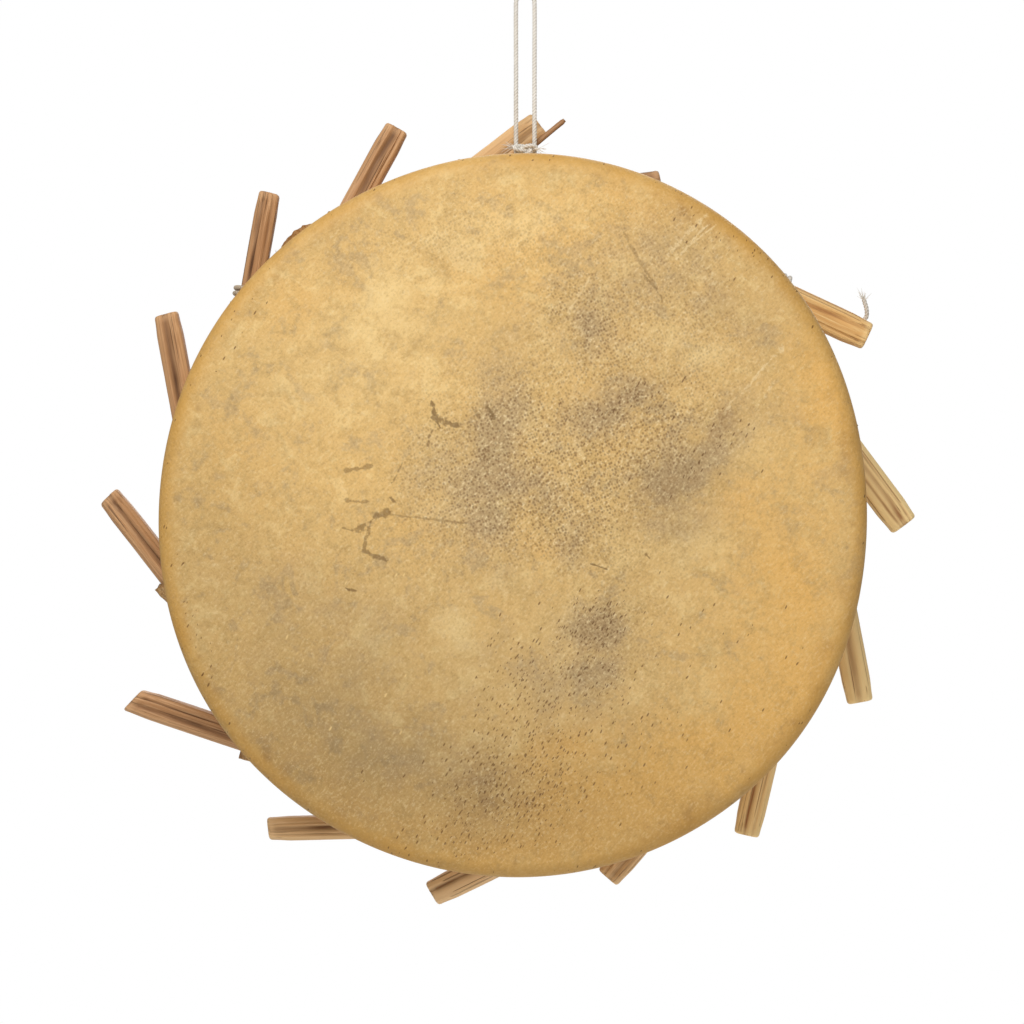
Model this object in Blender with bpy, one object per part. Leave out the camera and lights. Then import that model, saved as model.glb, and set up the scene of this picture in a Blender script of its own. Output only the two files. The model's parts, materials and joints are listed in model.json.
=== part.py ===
"""Frame drum: a shallow fired-clay ring under a lapped goat skin, with fourteen tuning pegs.

The drum hangs upright. Its head faces -Y, +X is to the right of someone who faces the head,
and +Z is up. The origin is where the hanging loop of twine bears on its nail. Everything is
laid out around the centre of the head, and then hung below the origin.
"""

import math
from dataclasses import dataclass

import bmesh
import bpy
import numpy as np
from mathutils import Vector

MM = 0.001

# ---------------------------------------------------------------- overall sizes
HEAD_RADIUS = 150.0 * MM  # mean outside radius of the skin at the rim
DRUM_DEPTH = 45.0 * MM  # from the head to the back of the lapped skin
FIT_GAP = 0.3 * MM  # clearance between pieces that touch

# The ring was shaped by hand, so the rim is out of round: (lobes, share of radius, bearing)
OUT_OF_ROUND = (
    (2, 0.0108, 75.0),
    (3, 0.0067, -53.0),
    (4, 0.0030, -42.0),
    (6, 0.0015, -29.0),
)

# ---------------------------------------------------------------- skin
SKIN_THICK = 1.0 * MM
EDGE_ROUND = 7.0 * MM  # radius of the rim, where the skin turns from head to wall
BACK_ROUND = 4.0 * MM  # radius where the wall turns onto the back of the ring
EAVE = 7.0 * MM  # how much the wall slopes inwards on its way to the back
MARGIN_REACH = 19.0 * MM  # how far in from the rim's radius the lapped margin ends
MARGIN_WAVE = 1.2 * MM  # how much the cut edge of the margin wanders
MARGIN_WAVES = 9

# ---------------------------------------------------------------- ring
RING_WALL_FRONT = 17.5 * MM
RING_WALL_BACK = 16.0 * MM
RING_CHAMFER = 1.5 * MM

# ---------------------------------------------------------------- pegs
PEG_TAPER_LENGTH = 9.0 * MM  # length of the worn, narrowing part at each end
PEG_CHAMFER = 1.6 * MM
PEG_RIBS = 8
PEG_RIB_DEPTH = 0.035  # share of the radius by which the grooves cut in
PEG_SQUARENESS = 0.72  # 1 is an ellipse, smaller is squarer
PEG_WORN_WIDTH = 0.92  # width of the ends, as a share of the full width
PEG_INNER_MIN = 3.0 * MM  # least distance from the foot to the inner end
PEG_NEIGHBOUR_GAP = 0.8 * MM  # between a peg's inner end and the next peg as both turn

# ---------------------------------------------------------------- rolls of skin round the pegs
ROLL_THICK = 2.0 * MM  # two turns of skin
ROLL_START = 28.0 * MM  # along the peg, from its foot
ROLL_END = 58.0 * MM
ROLL_LEAST_LENGTH = 28.0 * MM
ROLL_FRONT_LIP = 100.0  # degrees round the peg from outwards to the lip in front
ROLL_BACK_LIP = -125.0  # degrees round the peg from outwards to the lip behind
ROLL_NOTCH = 3.5 * MM  # how much shorter a roll is at its lips than in its middle

# ---------------------------------------------------------------- loose flap of skin
FLAP_FROM = 134.0  # bearing in degrees
FLAP_TO = 121.5
FLAP_REACH = 11.5 * MM
FLAP_SINK = 4.5 * MM  # from the back of the drum to the flap's middle
FLAP_RUFFLE = 1.4 * MM
FLAP_RUFFLES = 1.5

# ---------------------------------------------------------------- twig
TWIG_RADIUS = 1.5 * MM
TWIG_TIP_RADIUS = 1.1 * MM
TWIG_POINTS_AT = 40.8  # bearing in degrees
TWIG_INSET = 35.4 * MM  # from the rim's mean radius in to the line of the twig
TWIG_REACH = 127.0 * MM
TWIG_STATIONS = 7
TWIG_BOW = 0.5 * MM

# ---------------------------------------------------------------- twine
TWINE_DIAMETER = 2.0 * MM
TWINE_SIDES_LEVEL = 2
TWINE_STEP = 2.4  # distance between a cord's points, in diameters
HANG_LENGTH = 72.0 * MM  # from the rim's mean radius up to the nail
HANG_OFFSET = 4.4 * MM  # the loop hangs this far to the right of the head's centre
HANG_FORWARD = 1.6 * MM  # from the back of the lapped skin forward to the strands
STRAND_SPACING = 7.9 * MM
KNOT_RISE = 6.6 * MM  # from the rim's mean radius up to the knot
KNOT_HALF = (6.0 * MM, 1.9 * MM, 2.6 * MM)
TAIL_SPACING = 2.6 * MM  # between the loop's two ends, where they enter the knot
TIE_TURNS = 2.0
TIE_PITCH = 2.4 * MM
TIE_CLEAR = 2.0 * MM  # from the end of the roll of skin to the first turn of a tie
TIE_03_TURN = 170.0  # degrees round the peg, from outwards, where the last turn ends
TIE_13_TURN = -80.0
TIE_03_TAIL = (  # past the last turn: along, outwards and towards the head
    (3.0 * MM, -7.0 * MM, 1.5 * MM),
    (8.0 * MM, -7.0 * MM, 2.0 * MM),
    (12.0 * MM, -7.4 * MM, 2.2 * MM),
    (15.0 * MM, -8.2 * MM, 2.4 * MM),
)
TIE_13_TAIL = (
    (5.0 * MM, 1.0 * MM, -9.8 * MM),
    (14.0 * MM, 0.0 * MM, -9.8 * MM),
    (24.0 * MM, 0.5 * MM, -9.8 * MM),
    (32.0 * MM, 3.0 * MM, -9.6 * MM),
    (35.5 * MM, 7.0 * MM, -8.0 * MM),
    (34.5 * MM, 10.5 * MM, -6.5 * MM),
    (31.5 * MM, 14.0 * MM, -6.0 * MM),
)

# ---------------------------------------------------------------- sizes that follow from these
HANG_HEIGHT = HEAD_RADIUS + HANG_LENGTH
KNOT_HEIGHT = HEAD_RADIUS + KNOT_RISE
HANG_SINK = DRUM_DEPTH - HANG_FORWARD
TWIG_OFFSET = HEAD_RADIUS - TWIG_INSET

# ---------------------------------------------------------------- fineness of the surfaces
RIM_STEPS = 96
ARC_STEPS = 5
PEG_STEPS = 16
ROLL_STEPS = 14
TWIG_STEPS = 8
KNOT_SUBDIVISIONS = 2
SMOOTH_BELOW = math.radians(32.0)


@dataclass(frozen=True)
class Peg:
    """One peg. Its axis touches a circle round the drum's centre at the peg's foot.

    number counts anticlockwise from the top; points_at is the bearing it points at in degrees;
    inset is how far inside the rim's mean radius that circle is; reach is from the foot to the
    tip; cut is how many degrees the tip is cut off square; wood names its material; roll_end
    is where along the peg its roll of skin ends.
    """

    number: int
    points_at: float
    inset: float
    reach: float
    width: float
    thick: float
    cut: float
    wood: str
    roll_end: float = ROLL_END

    @property
    def offset(self):
        """How far the peg's axis passes from the drum's centre."""
        return HEAD_RADIUS - self.inset


PEGS = (
    Peg(1, 37.5, 22.5 * MM, 111.0 * MM, 13.4 * MM, 8.0 * MM, 0.0, "wood_tan"),
    Peg(2, 61.0, 24.9 * MM, 121.5 * MM, 11.5 * MM, 10.2 * MM, 0.0, "wood_brown"),
    Peg(3, 79.5, 21.0 * MM, 117.5 * MM, 10.0 * MM, 9.0 * MM, 3.0, "wood_brown", 68.0 * MM),
    Peg(4, 101.0, 19.0 * MM, 114.0 * MM, 11.6 * MM, 10.0 * MM, -4.0, "wood_brown"),
    Peg(5, 128.5, 18.2 * MM, 115.5 * MM, 11.2 * MM, 10.0 * MM, -6.0, "wood_brown", 72.0 * MM),
    Peg(6, 161.5, 22.7 * MM, 131.0 * MM, 12.1 * MM, 10.6 * MM, 25.0, "wood_brown", 80.0 * MM),
    Peg(7, 181.0, 17.5 * MM, 108.5 * MM, 10.7 * MM, 9.6 * MM, -6.0, "wood_tan"),
    Peg(8, 206.0, 19.4 * MM, 103.5 * MM, 12.4 * MM, 10.8 * MM, -5.0, "wood_tan"),
    Peg(9, 229.5, 18.5 * MM, 92.5 * MM, 11.8 * MM, 10.4 * MM, 0.0, "wood_tan"),
    Peg(10, 257.5, 22.7 * MM, 112.5 * MM, 12.1 * MM, 10.6 * MM, 0.0, "wood_orange"),
    Peg(11, 281.0, 19.4 * MM, 107.0 * MM, 12.4 * MM, 10.8 * MM, 0.0, "wood_orange"),
    Peg(12, 307.0, 18.5 * MM, 104.0 * MM, 13.8 * MM, 11.4 * MM, 0.0, "wood_orange"),
    Peg(13, 335.0, 15.5 * MM, 105.0 * MM, 13.4 * MM, 11.2 * MM, 0.0, "wood_orange"),
    Peg(14, 11.0, 21.0 * MM, 89.0 * MM, 11.8 * MM, 10.2 * MM, 0.0, "wood_brown"),
)
HANGING_PEG = PEGS[13]
TIED_PEG_03 = PEGS[2]
TIED_PEG_13 = PEGS[12]

# Colour, roughness and metallic value of each material
MATERIALS = {
    "goat_skin": ((0.50, 0.33, 0.16), 0.55, 0.0),
    "goat_skin_margin": ((0.42, 0.27, 0.13), 0.6, 0.0),
    "fired_clay": ((0.36, 0.17, 0.09), 0.85, 0.0),
    "wood_brown": ((0.22, 0.09, 0.03), 0.6, 0.0),
    "wood_tan": ((0.45, 0.24, 0.10), 0.6, 0.0),
    "wood_orange": ((0.42, 0.19, 0.06), 0.55, 0.0),
    "cotton_twine": ((0.75, 0.70, 0.62), 0.9, 0.0),
}


# ---------------------------------------------------------------- small helpers
def material(name):
    """Return the named Principled material, made on first use."""
    found = bpy.data.materials.get(name)
    if found:
        return found
    colour, roughness, metallic = MATERIALS[name]
    made = bpy.data.materials.new(name)
    made.use_nodes = True
    shader = made.node_tree.nodes["Principled BSDF"]
    shader.inputs["Base Color"].default_value = (*colour, 1.0)
    shader.inputs["Roughness"].default_value = roughness
    shader.inputs["Metallic"].default_value = metallic
    made.diffuse_color = (*colour, 1.0)
    return made


def add_object(name, data, material_name, parent):
    """Link mesh or curve data as a named object under its parent."""
    data.materials.append(material(material_name))
    made = bpy.data.objects.new(name, data)
    made.parent = parent
    bpy.context.scene.collection.objects.link(made)
    return made


def loft(name, rings, closed=False):
    """Skin a stack of rings, each an equal number of points, into one closed body.

    closed joins the last ring to the first; otherwise a fan of faces closes each end.
    """
    rings = np.asarray(rings)
    count, points, _ = rings.shape
    shape = bmesh.new()
    vertices = [[shape.verts.new(point) for point in ring] for ring in rings]
    pairs = [(row, row + 1) for row in range(count - 1)]
    if closed:
        pairs.append((count - 1, 0))
    for low, high in pairs:
        for here in range(points):
            after = (here + 1) % points
            shape.faces.new(
                (
                    vertices[low][here],
                    vertices[low][after],
                    vertices[high][after],
                    vertices[high][here],
                )
            )
    if not closed:
        for row in (0, count - 1):
            middle = shape.verts.new(rings[row].mean(axis=0))
            for here in range(points):
                after = (here + 1) % points
                shape.faces.new((vertices[row][here], vertices[row][after], middle))
    bmesh.ops.recalc_face_normals(shape, faces=shape.faces)
    mesh = bpy.data.meshes.new(name)
    shape.to_mesh(mesh)
    shape.free()
    mesh.shade_smooth()
    mesh.set_sharp_from_angle(angle=SMOOTH_BELOW)
    return mesh


def smooth_route(points, step):
    """Read points about one step apart from a Catmull-Rom curve through the given points."""
    points = [Vector(point) for point in points]
    padded = [2 * points[0] - points[1], *points, 2 * points[-1] - points[-2]]
    route = []
    for before, start, end, after in zip(padded, padded[1:], padded[2:], padded[3:]):
        pieces = max(1, round((end - start).length / step))
        for piece in range(pieces):
            t = piece / pieces
            route.append(
                0.5
                * (
                    2 * start
                    + (end - before) * t
                    + (2 * before - 5 * start + 4 * end - after) * t**2
                    + (3 * start - before - 3 * end + after) * t**3
                )
            )
    route.append(points[-1])
    return route


def twine(name, route, parent):
    """Make one length of twine along a route."""
    curve = bpy.data.curves.new(name, "CURVE")
    curve.dimensions = "3D"
    curve.bevel_depth = TWINE_DIAMETER / 2
    curve.bevel_resolution = TWINE_SIDES_LEVEL
    curve.use_fill_caps = True
    spline = curve.splines.new("POLY")
    spline.points.add(len(route) - 1)
    for target, point in zip(spline.points, route):
        target.co = (*point, 1.0)
    return add_object(name, curve, "cotton_twine", parent)


# ---------------------------------------------------------------- rim and skin
def rim_radius(bearing):
    """Radius of the rim at a bearing in radians."""
    waves = sum(
        share * np.cos(lobes * (bearing - math.radians(lead)))
        for lobes, share, lead in OUT_OF_ROUND
    )
    return HEAD_RADIUS * (1 + waves)


def wall_inset(sink):
    """How far the skin's wall lies inside the rim's radius at a distance behind the head."""
    run = DRUM_DEPTH - BACK_ROUND - EDGE_ROUND
    return EAVE * (sink - EDGE_ROUND) / run


def lap_profile(inside):
    """Inset and depth of a surface that lies a distance inside the skin, from head to back."""
    front = EDGE_ROUND - inside
    back = BACK_ROUND - inside
    turns = [math.pi / 2 * step / ARC_STEPS for step in range(ARC_STEPS + 1)]
    rim = [
        (EDGE_ROUND - front * math.sin(turn), EDGE_ROUND - front * math.cos(turn))
        for turn in turns
    ]
    lap = [
        (
            EAVE + BACK_ROUND - back * math.cos(turn),
            DRUM_DEPTH - BACK_ROUND + back * math.sin(turn),
        )
        for turn in turns
    ]
    return rim + lap


def rim_ring(inset, sink, share=1.0, waves=0.0):
    """One ring round the drum, inside the rim's radius and behind the head."""
    bearing = np.linspace(0, 2 * math.pi, RIM_STEPS, endpoint=False)
    radius = share * (rim_radius(bearing) - inset + waves * np.sin(MARGIN_WAVES * bearing))
    return np.stack(
        [radius * np.cos(bearing), np.full(RIM_STEPS, sink), radius * np.sin(bearing)],
        axis=1,
    )


def skin_head(parent):
    """The goat skin: head, turn over the rim, sloping wall and margin lapped on the back."""
    shares = (0.3, 0.65)
    outer = [rim_ring(EDGE_ROUND, 0.0, share) for share in shares]
    outer += [rim_ring(*point) for point in lap_profile(0.0)]
    edge = [
        rim_ring(MARGIN_REACH, DRUM_DEPTH - inside, waves=MARGIN_WAVE)
        for inside in (0.0, SKIN_THICK)
    ]
    inner = [rim_ring(*point) for point in reversed(lap_profile(SKIN_THICK))]
    inner += [rim_ring(EDGE_ROUND, SKIN_THICK, share) for share in reversed(shares)]
    add_object("skin_head", loft("skin_head", outer + edge + inner), "goat_skin", parent)


def ring_frame(parent):
    """The fired-clay ring, whose wall slopes inwards towards the back."""
    under = SKIN_THICK + FIT_GAP
    outside = lap_profile(under)
    front, back = under, DRUM_DEPTH - under
    inner_front = under + RING_WALL_FRONT
    inner_back = EAVE + under + RING_WALL_BACK
    inside = [
        (inner_back - RING_CHAMFER, back),
        (inner_back, back - RING_CHAMFER),
        (inner_front, front + RING_CHAMFER),
        (inner_front - RING_CHAMFER, front),
    ]
    rings = [rim_ring(*point) for point in outside + inside]
    add_object("ring_frame", loft("ring_frame", rings, closed=True), "fired_clay", parent)


# ---------------------------------------------------------------- pegs
def peg_section(peg, share=1.0):
    """Points round a ribbed, rounded rectangle: across the peg and through its thickness."""
    turn = np.linspace(0, 2 * math.pi, PEG_STEPS, endpoint=False) + math.pi / PEG_STEPS
    ribs = 1 - PEG_RIB_DEPTH * (1 + np.cos(PEG_RIBS * turn + math.pi / 2)) / 2
    across = np.sign(np.cos(turn)) * np.abs(np.cos(turn)) ** PEG_SQUARENESS
    through = np.sign(np.sin(turn)) * np.abs(np.sin(turn)) ** PEG_SQUARENESS
    return share * ribs * across * peg.width / 2, share * ribs * through * peg.thick / 2


def turning_radius(peg):
    """Radius of the space that a peg needs to turn about its own axis."""
    across, through = peg_section(peg)
    return float(np.hypot(across, through).max())


def roll_radius(peg):
    """Outside radius of the skin rolled round a peg."""
    return turning_radius(peg) + FIT_GAP + ROLL_THICK


def twine_radius(peg):
    """Radius of a turn of twine round a peg, whose straight pieces all clear the peg."""
    close = turning_radius(peg) + FIT_GAP + TWINE_DIAMETER / 2
    return close / math.cos(TWINE_STEP * TWINE_DIAMETER / (2 * close))


def peg_sink(peg):
    """How far behind the head a peg's axis lies, so that what is round it clears the margin."""
    around = roll_radius(peg)
    if peg is HANGING_PEG:
        around = max(around, twine_radius(peg) + TWINE_DIAMETER / 2)
    return DRUM_DEPTH + FIT_GAP + around


def neighbour(peg):
    """The peg whose shaft crosses outside this one's inner end."""
    return PEGS[peg.number % len(PEGS)]


def clear_start(peg, need):
    """Distance from the foot beyond which a peg's axis is clear of its neighbour's axis."""
    other = neighbour(peg)
    between = math.radians((foot_bearing(other) - foot_bearing(peg)) % 360)
    side = -1 if between > math.pi else 1
    between = min(between, 2 * math.pi - between)
    at_foot = other.offset - peg.offset * math.cos(between)
    return (need - at_foot) / (side * math.sin(between))


def foot_bearing(peg):
    """Bearing of a peg's foot in degrees."""
    return (peg.points_at + 90.0) % 360


def peg_start(peg):
    """Where a peg's inner end is, short of the neighbour's shaft as both turn."""
    need = turning_radius(peg) + turning_radius(neighbour(peg)) + PEG_NEIGHBOUR_GAP
    return max(PEG_INNER_MIN, clear_start(peg, need))


def roll_start(peg):
    """Where the roll of skin begins, clear of the neighbour's shaft."""
    need = roll_radius(peg) + turning_radius(neighbour(peg)) + PEG_NEIGHBOUR_GAP
    start = max(ROLL_START, clear_start(peg, need))
    if peg is HANGING_PEG:
        strand = HANG_OFFSET + STRAND_SPACING / 2
        start = max(start, along_at(peg, strand) + TWINE_DIAMETER)
    return start


def along_at(peg, across):
    """How far along a peg's axis it is level with a distance right of the drum's centre."""
    foot_x = peg.offset * math.cos(math.radians(foot_bearing(peg)))
    return (across - foot_x) / math.cos(math.radians(peg.points_at))


def place_on_peg(made, peg):
    """Put an object's origin at a peg's foot, its X along the peg and its Y outwards."""
    foot = math.radians(foot_bearing(peg))
    made.location = (
        peg.offset * math.cos(foot),
        peg_sink(peg),
        peg.offset * math.sin(foot),
    )
    made.rotation_euler = (math.pi / 2, -math.radians(peg.points_at), 0.0)


def on_peg(peg, along, outwards, forwards):
    """A point given along a peg, outwards and towards the head, in the drum's frame."""
    foot = math.radians(foot_bearing(peg))
    points = math.radians(peg.points_at)
    radial = peg.offset + outwards
    return Vector(
        (
            radial * math.cos(foot) + along * math.cos(points),
            peg_sink(peg) - forwards,
            radial * math.sin(foot) + along * math.sin(points),
        )
    )


def add_peg(peg, parent):
    """One peg: a ribbed stick with worn ends and a tip cut a little off square."""
    start, tip = peg_start(peg), peg.reach
    slope = math.tan(math.radians(peg.cut))
    stations = (
        (start, PEG_WORN_WIDTH - PEG_CHAMFER / peg.width, 0.0),
        (start + PEG_CHAMFER, PEG_WORN_WIDTH, 0.0),
        (start + PEG_TAPER_LENGTH, 1.0, 0.0),
        ((start + tip) / 2, 1.0, 0.0),
        (tip - PEG_TAPER_LENGTH, 1.0, 0.0),
        (tip - PEG_CHAMFER, PEG_WORN_WIDTH, slope),
        (tip, PEG_WORN_WIDTH - PEG_CHAMFER / peg.width, slope),
    )
    rings = []
    for along, share, lean in stations:
        across, through = peg_section(peg, share)
        rings.append(np.stack([along + lean * across, across, through], axis=1))
    name = f"peg_{peg.number:02d}"
    place_on_peg(add_object(name, loft(name, rings), peg.wood, parent), peg)


def add_roll(peg, parent):
    """The skin's margin rolled round a peg, open towards the middle of the drum."""
    inner, outer = turning_radius(peg) + FIT_GAP, roll_radius(peg)
    start = roll_start(peg)
    end = max(peg.roll_end, start + ROLL_LEAST_LENGTH)
    rings = []
    for turn in np.linspace(ROLL_FRONT_LIP, ROLL_BACK_LIP, ROLL_STEPS + 1):
        short = ROLL_NOTCH * (turn / ROLL_BACK_LIP) ** 2
        out, front = math.cos(math.radians(turn)), math.sin(math.radians(turn))
        rings.append(
            [
                (start + short, inner * out, inner * front),
                (end - short, inner * out, inner * front),
                (end - short, outer * out, outer * front),
                (start + short, outer * out, outer * front),
            ]
        )
    name = f"skin_roll_{peg.number:02d}"
    made = add_object(name, loft(name, rings), "goat_skin_margin", parent)
    place_on_peg(made, peg)


# ---------------------------------------------------------------- loose pieces at the rim
def skin_flap(parent):
    """A loose, ruffled edge of skin that sticks out behind the rim."""
    rings = []
    steps = RIM_STEPS // 8
    for step in range(steps + 1):
        share = step / steps
        bearing = math.radians(FLAP_FROM + (FLAP_TO - FLAP_FROM) * share)
        ruffle = FLAP_RUFFLE * math.sin(2 * math.pi * FLAP_RUFFLES * share)
        reach = FLAP_REACH * (0.35 + 0.65 * math.sin(math.pi * share) ** 0.6)
        root_sink = DRUM_DEPTH - FLAP_SINK
        root = rim_radius(bearing) - wall_inset(root_sink - SKIN_THICK / 2) + FIT_GAP
        ring = []
        for side in (-1, 1):
            places = ((root, 0.0), (root + reach / 2, 0.6), (root + reach, 1.0))
            for radius, lift in places[::side]:
                sink = root_sink + ruffle * lift + side * SKIN_THICK / 2
                ring.append((radius * math.cos(bearing), sink, radius * math.sin(bearing)))
        rings.append(ring)
    add_object("skin_flap", loft("skin_flap", rings), "goat_skin_margin", parent)


def twig_start():
    """Where the twig's inner end is, just clear of the hanging peg's shaft."""
    need = turning_radius(HANGING_PEG) + FIT_GAP + TWIG_RADIUS + TWIG_BOW
    between = math.radians(TWIG_POINTS_AT - HANGING_PEG.points_at)
    at_foot = TWIG_OFFSET * math.cos(between) - HANGING_PEG.offset
    return (need - at_foot) / math.sin(between)


def twig(parent):
    """A thin twig that lies on the lapped margin and runs out beside the first peg."""
    start = twig_start()
    foot = math.radians(TWIG_POINTS_AT + 90.0)
    points = math.radians(TWIG_POINTS_AT)
    along_axis = np.array((math.cos(points), 0.0, math.sin(points)))
    out_axis = np.array((math.cos(foot), 0.0, math.sin(foot)))
    back_axis = np.array((0.0, 1.0, 0.0))
    sink = DRUM_DEPTH + FIT_GAP + TWIG_RADIUS
    rings = []
    for share in np.linspace(0, 1, TWIG_STATIONS):
        radius = TWIG_RADIUS + (TWIG_TIP_RADIUS - TWIG_RADIUS) * share
        bow = TWIG_BOW * math.sin(math.pi * share)
        along = start + (TWIG_REACH - start) * share
        centre = along * along_axis + (TWIG_OFFSET + bow) * out_axis + sink * back_axis
        turn = 2 * math.pi * np.arange(TWIG_STEPS) / TWIG_STEPS
        rings.append(
            centre
            + radius * np.cos(turn)[:, None] * out_axis
            + radius * np.sin(turn)[:, None] * back_axis
        )
    add_object("twig", loft("twig", rings), "wood_brown", parent)


# ---------------------------------------------------------------- twine
def knot(parent):
    """The knot that ties the two ends of the hanging loop, in front of its strands."""
    shape = bmesh.new()
    bmesh.ops.create_icosphere(shape, subdivisions=KNOT_SUBDIVISIONS, radius=1.0)
    bmesh.ops.scale(shape, vec=KNOT_HALF, verts=shape.verts)
    mesh = bpy.data.meshes.new("hanging_knot")
    shape.to_mesh(mesh)
    shape.free()
    mesh.shade_smooth()
    made = add_object("hanging_knot", mesh, "cotton_twine", parent)
    made.location = (HANG_OFFSET, knot_sink(), KNOT_HEIGHT)


def knot_sink():
    """How far behind the head the knot's middle lies, touching the strands behind it."""
    return HANG_SINK - TWINE_DIAMETER / 2 - FIT_GAP - KNOT_HALF[1]


def hanging_loop(parent):
    """One length of twine: a turn round a peg, up over the nail, down and round again.

    Both ends come over the top of the peg to the knot.
    """
    peg = HANGING_PEG
    radius = twine_radius(peg)
    half = STRAND_SPACING / 2
    bend_top = HANG_HEIGHT + TWINE_DIAMETER / 2

    def turn_round(side):
        """Points from the knot over the peg's top, down behind it and up in front."""
        tail = HANG_OFFSET + side * TAIL_SPACING / 2
        strand = HANG_OFFSET + side * half
        points = []
        turns = (0.0, -45.0, -90.0, -135.0, -180.0, -225.0, -270.0)
        for place, turn in enumerate(turns):
            across = tail + (strand - tail) * place / (len(turns) - 1)
            along = along_at(peg, across)
            out = radius * math.cos(math.radians(turn))
            ahead = radius * math.sin(math.radians(turn))
            points.append(on_peg(peg, along, out, ahead))
        top, front = points[0], points[-1]
        knot_foot = KNOT_HEIGHT - KNOT_HALF[2]
        enter = Vector((tail, knot_sink(), knot_foot - FIT_GAP))
        dip = Vector((tail, front.y - TWINE_DIAMETER / 2, (top.z + knot_foot) / 2))
        over_edge = rim_radius(math.pi / 2) - EAVE + TWINE_DIAMETER
        leave = Vector((strand, front.y, over_edge))
        reach = Vector((strand, HANG_SINK, knot_foot - TWINE_DIAMETER))
        return [enter, dip, *points, leave, reach]

    left, right = turn_round(-1), turn_round(1)
    rise = [
        Vector((HANG_OFFSET + side * half, HANG_SINK, height))
        for side, height in (
            (-1, (KNOT_HEIGHT + HANG_HEIGHT) / 2),
            (-1, bend_top - half),
            (1, bend_top - half),
            (1, (KNOT_HEIGHT + HANG_HEIGHT) / 2),
        )
    ]
    crown = [
        Vector(
            (
                HANG_OFFSET - half * math.cos(math.radians(turn)),
                HANG_SINK,
                bend_top - half + half * math.sin(math.radians(turn)),
            )
        )
        for turn in (36.0, 72.0, 108.0, 144.0)
    ]
    points = [*left, *rise[:2], *crown, *rise[2:], *reversed(right)]
    step = TWINE_STEP * TWINE_DIAMETER
    twine("hanging_loop", smooth_route(points, step), parent)


def peg_tie(peg, tail_turn, tail, parent):
    """Two turns of twine round a peg, beyond its roll of skin, and the end left over.

    tail_turn is where the last turn ends, in degrees round the peg from outwards.
    """
    radius = twine_radius(peg)
    start = peg.roll_end + TIE_CLEAR + TWINE_DIAMETER / 2
    end = start + TIE_PITCH * TIE_TURNS
    steps = round(TIE_TURNS * 2 * math.pi * radius / (TWINE_STEP * TWINE_DIAMETER))
    points = []
    for step in range(steps + 1):
        left = 1 - step / steps
        turn = math.radians(tail_turn - 360.0 * TIE_TURNS * left)
        along = end + (start - end) * left
        points.append(on_peg(peg, along, radius * math.cos(turn), radius * math.sin(turn)))
    points += [on_peg(peg, end + along, out, ahead) for along, out, ahead in tail]
    route = smooth_route(points, TWINE_STEP * TWINE_DIAMETER)
    twine(f"tie_{peg.number:02d}", route, parent)


# ---------------------------------------------------------------- the drum
def build():
    """Build every piece round the centre of the head, then hang the drum at the origin."""
    for made in list(bpy.data.objects):
        bpy.data.objects.remove(made, do_unlink=True)
    centre = bpy.data.objects.new("drum_centre", None)
    bpy.context.scene.collection.objects.link(centre)
    centre.location = (-HANG_OFFSET, -HANG_SINK, -HANG_HEIGHT)
    ring_frame(centre)
    skin_head(centre)
    for peg in PEGS:
        add_peg(peg, centre)
        add_roll(peg, centre)
    skin_flap(centre)
    twig(centre)
    hanging_loop(centre)
    knot(centre)
    peg_tie(TIED_PEG_03, TIE_03_TURN, TIE_03_TAIL, centre)
    peg_tie(TIED_PEG_13, TIE_13_TURN, TIE_13_TAIL, centre)
    bpy.context.view_layer.update()


build()
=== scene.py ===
"""Looks of a frame drum: a goat skin lapped over a fired-clay ring, with fourteen tuning pegs.

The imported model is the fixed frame. Every piece made here is a surface worked out with numpy
in the frame's own coordinates, in metres: +X right and +Z up seen from the head, which faces
-Y. Lengths inside the classes are in millimetres where their names end in _mm.
"""

import json
import logging
import math
from dataclasses import dataclass
from enum import Enum

import bpy
import numpy as np
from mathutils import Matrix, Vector


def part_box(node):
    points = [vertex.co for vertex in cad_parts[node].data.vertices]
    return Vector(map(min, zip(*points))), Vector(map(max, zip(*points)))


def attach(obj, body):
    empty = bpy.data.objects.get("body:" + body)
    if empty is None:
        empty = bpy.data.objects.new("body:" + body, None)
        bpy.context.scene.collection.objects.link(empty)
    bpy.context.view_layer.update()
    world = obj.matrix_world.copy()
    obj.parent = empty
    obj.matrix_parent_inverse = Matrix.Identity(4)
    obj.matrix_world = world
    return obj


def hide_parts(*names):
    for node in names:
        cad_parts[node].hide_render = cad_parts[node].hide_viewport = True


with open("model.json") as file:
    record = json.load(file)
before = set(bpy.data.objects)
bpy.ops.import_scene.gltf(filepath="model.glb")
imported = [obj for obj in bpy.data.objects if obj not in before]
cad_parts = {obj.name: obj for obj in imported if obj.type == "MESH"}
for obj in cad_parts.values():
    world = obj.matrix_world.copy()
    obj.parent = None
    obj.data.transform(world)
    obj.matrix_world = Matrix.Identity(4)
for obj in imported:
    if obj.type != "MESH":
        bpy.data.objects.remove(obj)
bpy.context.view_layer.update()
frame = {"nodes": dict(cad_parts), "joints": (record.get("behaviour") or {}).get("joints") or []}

Array = np.ndarray
Colour = tuple[float, float, float]
Material, Node, Socket = bpy.types.Material, bpy.types.Node, bpy.types.NodeSocket
Piece = bpy.types.Object
MM = 0.001
LINE_STEP = 0.35 * MM  # between points of a drawn line of twine
SPAN_STEPS = 24  # points worked out between two points that a line is drawn through
CENTRE = np.array((-4.4, -43.4, -222.0)) * MM  # the middle of the head
ROOT_BODY = "drum"
TOWARDS_HEAD = np.array((0.0, -1.0, 0.0))

log = logging.getLogger("frame_drum")


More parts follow.
